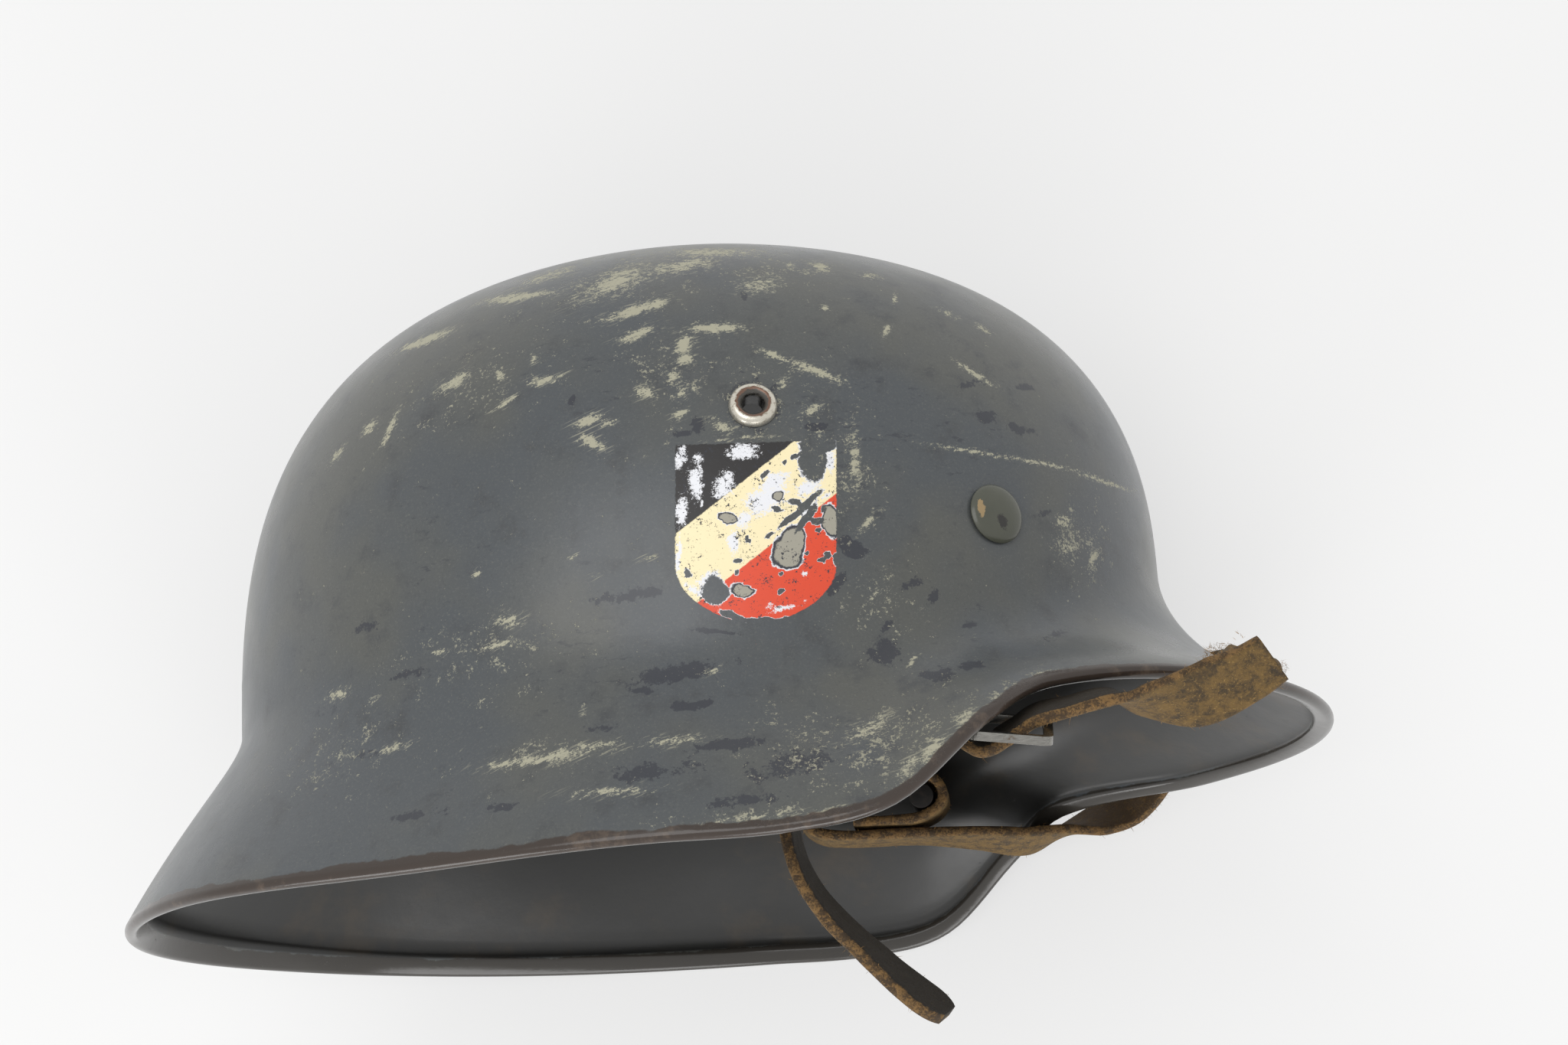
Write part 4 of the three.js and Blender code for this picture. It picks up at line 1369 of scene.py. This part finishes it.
def smooth_route(values, steps):
    """Curve through rows of values with even knots, and its slope."""
    values = np.array(values, float)
    first = 2 * values[:1] - values[1:2]
    last = 2 * values[-1:] - values[-2:-1]
    knots = np.concatenate([first, values, last])
    spans = len(values) - 1
    t = np.linspace(0, spans, spans * steps + 1)
    i = np.minimum(t.astype(int), spans - 1)
    u = (t - i)[:, None]
    a, b, c, d = knots[i], knots[i + 1], knots[i + 2], knots[i + 3]
    point = b + 0.5 * u * (c - a + u * (2 * a - 5 * b + 4 * c - d + u * (3 * (b - c) + d - a)))
    slope = 0.5 * (c - a + u * (2 * (2 * a - 5 * b + 4 * c - d) + 3 * u * (3 * (b - c) + d - a)))
    return point, slope


LEFT_STRAP = LEFT_STRAP_SIDE + visor_stations() + LEFT_STRAP_END
print("strap stations:", len(RIGHT_STRAP), "right and", len(LEFT_STRAP), "left")

# %% [markdown]
# ## Section and edges of a strap
# The section is a flat oval of points, each with the face that it belongs to. An old strap is
# never even: its edges waver, its thickness swells, and the ends are trimmed narrower.

# %% Strap section
STRAP_STEPS = 14
TIP_BLUNT = 1
EDGE_ROUND = 0.75
EDGE_WAVER = 0.3
SWELL = 0.1
SEED_STEP = 7.31
FACE_POINTS = 11
# columns: share of the edge's rounding that is cut off, height of the point
EDGE_POINTS = [(0.3, -0.75), (0, -0.3), (0, 0.3), (0.3, 0.75)]
# stretch before the end that is trimmed, length of the ramp, then the trims of the far and near edge
RIGHT_TRIM = (12, 12, 0.0, 3.2)
LEFT_TRIM = (100, 20, 2.2, 1.0)


def strap_section():
    """Half-width and half-thickness shares round the band, and which face each belongs to."""
    round_share = EDGE_ROUND / (STRAP_WIDTH / 2)
    wide = np.linspace(-1, 1, FACE_POINTS) * (1 - round_share)
    edge = [(1 - round_share * cut, high, 0) for cut, high in EDGE_POINTS]
    rows = [(w, -1, -1) for w in wide] + edge
    rows += [(w, 1, 1) for w in wide[::-1]] + [(-w, -high, 0) for w, high, _ in edge]
    return np.array(rows)


def waver(place, size, seed):
    """Smooth wander from -1 to 1 along a strap; size in millimetres."""
    return noise.noise(Vector((place / size, seed * SEED_STEP, OFF_LATTICE)))


def trimmed(place, whole, trim):
    """Millimetres cut off the far and the near edge towards a strap's end."""
    stretch, ramp, far, near = trim
    share = min(max((place - whole + stretch) / ramp, 0), 1)
    return share * far, share * near


def tip_share(place):
    """Share of the full width near a rounded tip."""
    left = max(1 - (place + TIP_BLUNT) / (STRAP_WIDTH / 2), 0)
    return math.sqrt(1 - left * left)


def cut_section(section, place, whole, share, seed, trim):
    """Widths and heights of the section at one place of a strap, in millimetres."""
    flat = section[:, 0]
    edges = np.where(flat > 0, waver(place, 9, seed), waver(place, 8, seed + 1))
    wide = flat * STRAP_WIDTH / 2 * share + np.sign(flat) * edges * EDGE_WAVER * share
    far, near = trimmed(place, whole, trim)
    wide = np.where(flat > 0, wide - far * flat, wide - near * flat)
    swell = 1 + SWELL * waver(place, 6, seed + 2)
    return wide, section[:, 1] * STRAP_THICK / 2 * swell


print("section points:", len(strap_section()))

# %% [markdown]
# ## Straps as skins
# The section is carried along the route. Three values ride on the vertices for the leather: the
# face, the place across the band and the way run along it.

# %% Strap meshes
def strap_route(stations):
    """Centre line, direction across, direction of the thickness, and length run."""
    centre, slope = smooth_route([row[:3] for row in stations], STRAP_STEPS)
    across, _ = smooth_route([row[3:] for row in stations], STRAP_STEPS)
    tangent = unit(slope)
    across = unit(across - tangent * (across * tangent).sum(1, keepdims=True))
    return centre, across, np.cross(tangent, across), walked(centre)


def make_strap(name, route, rounded_tip, seed, trim):
    centre, across, thick, length = route
    section = strap_section()
    rows = []
    for k, place in enumerate(length):
        share = tip_share(place) if rounded_tip else 1.0
        wide, high = cut_section(section, place, length[-1], share, seed, trim)
        rows.append(centre[k] + np.outer(wide, across[k]) + np.outer(high, thick[k]))
    ends = [np.repeat(row.mean(0, keepdims=True), len(section), 0) for row in (rows[0], rows[-1])]
    points = np.stack([ends[0], *rows, ends[1]])
    run = np.concatenate([[0], length, [length[-1]]])
    face = np.tile(section[:, 2], (len(points), 1))
    face[[0, -1]] = 0
    across_share = np.tile(section[:, 0], (len(points), 1))
    print(name, "is", round(length[-1]), "mm long")
    values = {"face": face, "across": across_share, "run": np.tile(run[:, None], (1, len(section)))}
    return rolled_grid(name, points, values)


route_right = strap_route(RIGHT_STRAP)
route_left = strap_route(LEFT_STRAP)
strap_right = make_strap("strap_leather_right", route_right, True, 1, RIGHT_TRIM)
strap_left = make_strap("strap_leather_left", route_left, False, 5, LEFT_TRIM)

# %% [markdown]
# ## Leather
# The tail shows the strap's black, cracked grain and its brown cut edge. Past the buckle the
# suede side shows, matted and golden brown. One function makes the leather of both straps: it
# reads which face a point is on and how far along the strap it lies.

# %% Leather material
GRAIN_BLACK = srgb(18, 17, 15)
GRAIN_WORN = srgb(42, 38, 31)
HAIR_BROWN = srgb(70, 52, 30)
HAIR_WORN = srgb(108, 82, 44)
SUEDE_DARK = srgb(50, 38, 20)
SUEDE_BROWN = srgb(108, 84, 44)
SUEDE_GOLD = srgb(148, 118, 66)
EDGE_LEATHER = srgb(60, 44, 24)
EDGE_PALE = srgb(122, 93, 54)
# length from the tip to where the grain side gives way to suede, and half the length it takes
TAIL_END = 110
NO_TAIL = -20
TAIL_FADE = 6.0


def strap_leather(name, grain_until, smooth_colours):
    material, tree, shader = new_material(name)
    place = object_place(tree)
    matt = grain(tree, place, 2.6, 6, 0.75)
    fibre = grain(tree, place, 0.5, 3, 0.7)
    clouds = grain(tree, place, 12, 4)
    suede = blend(tree, step(tree, matt, 0.34, 0.62), SUEDE_DARK, SUEDE_BROWN)
    suede = blend(tree, step(tree, fibre, 0.55, 0.75), suede, SUEDE_GOLD)
    suede = blend(tree, times(tree, step(tree, clouds, 0.5, 0.7), 0.4), suede, SUEDE_DARK)
    cracks = step(tree, grain(tree, place, 1.3, 5, 0.75), 0.52, 0.68)
    smooth_face = blend(tree, cracks, *smooth_colours)
    on_tail = step(tree, read(tree, "run"), grain_until + TAIL_FADE, grain_until - TAIL_FADE)
    flesh_side = step(tree, read(tree, "face"), 0.2, 0.8)
    near_side = blend(tree, on_tail, suede, smooth_face)
    far_side = blend(tree, on_tail, smooth_face, suede)
    faces = blend(tree, flesh_side, near_side, far_side)
    frayed = plus(tree, matt, spread(tree, fibre, -0.14, 0.14))
    edge_colour = blend(tree, step(tree, frayed, 0.4, 0.62), EDGE_LEATHER, EDGE_PALE)
    edge_share = without_sign(tree, read(tree, "across"))
    ragged = plus(tree, edge_share, spread(tree, matt, -0.05, 0.05))
    colour = blend(tree, step(tree, ragged, 0.9, 0.97), faces, edge_colour)
    dress(tree, shader, colour, spread(tree, matt, 0.7, 0.95))
    shader.inputs["Sheen Weight"].default_value = 0.1
    shader.inputs["Sheen Roughness"].default_value = 0.6
    shader.inputs["Sheen Tint"].default_value = SUEDE_GOLD
    height = plus(tree, matt, fibre, 0.6)
    bump(tree, shader, height, 0.0007, 0.8)
    return material


LEATHER_RIGHT = strap_leather("leather_right", TAIL_END, (GRAIN_BLACK, GRAIN_WORN))
LEATHER_LEFT = strap_leather("leather_left", NO_TAIL, (HAIR_BROWN, HAIR_WORN))
fit(strap_right, LEATHER_RIGHT, "chin_strap_right")
fit(strap_left, LEATHER_LEFT, "chin_strap_left")
print("leather set")

# %% [markdown]
# ## Loose fibres
# Old suede frays: short fibres stand off its edges. Each fibre is a thin tapered blade of three
# triangles, seeded so that every run gives the same ones, and all the fibres of a strap are one
# mesh.

# %% Frayed edges
FIBRES_PER_MM = 7
FIBRE_LENGTH = 1.5
FIBRE_WIDTH = 0.09
FIBRE_PALE = srgb(168, 128, 74)
# how deep a fibre is rooted in the edge, and how many stations at each end carry none
ROOT_DEPTH = 0.25
BARE_STATIONS = 4
# how much the fibres' ways and curls differ, and how their lengths are spread
LEAN = 0.8
STRAY = 0.55
CURL = 0.35
SHORTEST = 0.25
SHORT_POWER = 1.6
# a fibre's bend: its place along the fibre, its share of the curl and of the width
BEND_PLACE = 0.55
BEND_CURL = 0.25
BEND_WIDTH = 0.7


def fibre_material():
    material, tree, shader = new_material("suede_fibre")
    place = object_place(tree)
    colour = blend(tree, step(tree, grain(tree, place, 3), 0.35, 0.65), SUEDE_BROWN, FIBRE_PALE)
    dress(tree, shader, colour, 0.9)
    return material


def fray(name, route, seed):
    """All the fibres of one strap, as one mesh."""
    centre, across, thick, length = route
    chance = np.random.default_rng(seed)
    count = int(length[-1] * FIBRES_PER_MM)
    points = []
    faces = []
    for _ in range(count):
        k = chance.integers(BARE_STATIONS, len(length) - BARE_STATIONS)
        side = chance.choice((-1, 1))
        height = chance.uniform(-1, 1) * STRAP_THICK / 2
        root = centre[k] + across[k] * side * (STRAP_WIDTH / 2 - ROOT_DEPTH) + thick[k] * height
        way = unit(across[k] * side + thick[k] * chance.normal(0, LEAN) + chance.normal(0, STRAY, 3))
        size = FIBRE_LENGTH * chance.uniform(SHORTEST, 1) ** SHORT_POWER
        curl = chance.normal(0, CURL, 3)
        wide = unit(np.cross(way, chance.normal(0, 1, 3))) * FIBRE_WIDTH / 2
        middle = root + way * size * BEND_PLACE + curl * size * BEND_CURL
        tip = root + way * size + curl * size
        slim = wide * BEND_WIDTH
        start = len(points)
        points += [root - wide, root + wide, middle - slim, middle + slim, tip]
        faces += [(start, start + 1, start + 3, start + 2), (start + 2, start + 3, start + 4)]
    mesh = bpy.data.meshes.new(name)
    mesh.from_pydata([tuple(p) for p in lay(np.array(points))], [], faces)
    piece = bpy.data.objects.new(name, mesh)
    bpy.context.scene.collection.objects.link(piece)
    piece.data.materials.append(FIBRE)
    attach(piece, "root")
    print(name, "has", count, "fibres")


FIBRE = fibre_material()
fray("strap_fray_right", route_right, 11)
fray("strap_fray_left", route_left, 12)

# %% [markdown]
# ## Table
# The photograph is almost shadowless, as on a lit table, so the table is a wide pale plane that
# glows a little.

# %% Table
TABLE_SIZE = 8
# glow of the table: painted light that fills the shadows round the helmet
TABLE_GLOW = 0.46
TABLE_GREY = srgb(166, 166, 165)
TABLE_PALE = srgb(170, 170, 170)
WHITE = (1.0, 1.0, 1.0, 1.0)


def glowing_pale_table():
    material, tree, shader = new_material("glowing_pale_table")
    place = object_place(tree)
    clouds = grain(tree, place, 160, 3)
    dress(tree, shader, blend(tree, clouds, TABLE_GREY, TABLE_PALE), 0.6)
    # the table's glow is painted light: it fills the shadows round the helmet and lights it from
    # below
    shader.inputs["Emission Color"].default_value = WHITE
    shader.inputs["Emission Strength"].default_value = TABLE_GLOW
    return material


bpy.ops.object.select_all(action="DESELECT")
bpy.ops.mesh.primitive_plane_add(size=TABLE_SIZE, location=(0, 0, 0))
table = bpy.context.object
table.name = "table_top"
table.data.materials.append(glowing_pale_table())
print("table", TABLE_SIZE, "m wide")

# %% [markdown]
# ## Light
# A white sky does most of it, and three soft lamps give the metal something to shine at.

# %% Light
SKY_STRENGTH = 0.8
LAMP_AIM = Vector((0, 0, 0.1))
# columns: name, place in metres, diameter in metres, power in watts
LAMPS = [
    ("rim_side_lamp", (0.35, -1.5, 0.75), 1.0, 9),
    ("low_left_lamp", (-0.9, -1.2, 0.6), 0.7, 5),
    ("overhead_lamp", (-0.5, 0.6, 1.7), 1.4, 10),
]


def white_sky():
    world = bpy.data.worlds.new("white_sky")
    world.use_nodes = True
    backdrop = world.node_tree.nodes["Background"]
    backdrop.inputs["Color"].default_value = WHITE
    backdrop.inputs["Strength"].default_value = SKY_STRENGTH
    bpy.context.scene.world = world


def soft_lamp(name, place, size, power):
    data = bpy.data.lights.new(name, "AREA")
    data.shape = "DISK"
    data.size = size
    data.energy = power
    lamp = bpy.data.objects.new(name, data)
    bpy.context.scene.collection.objects.link(lamp)
    lamp.location = place
    lamp.rotation_euler = (LAMP_AIM - Vector(place)).to_track_quat("-Z", "Y").to_euler()


white_sky()
for lamp in LAMPS:
    soft_lamp(*lamp)
bpy.context.scene.view_settings.view_transform = "Standard"
print("light set")

# %% [markdown]
# ## Finish
# The view layer is brought up to date.

# %% Finish
bpy.context.view_layer.update()
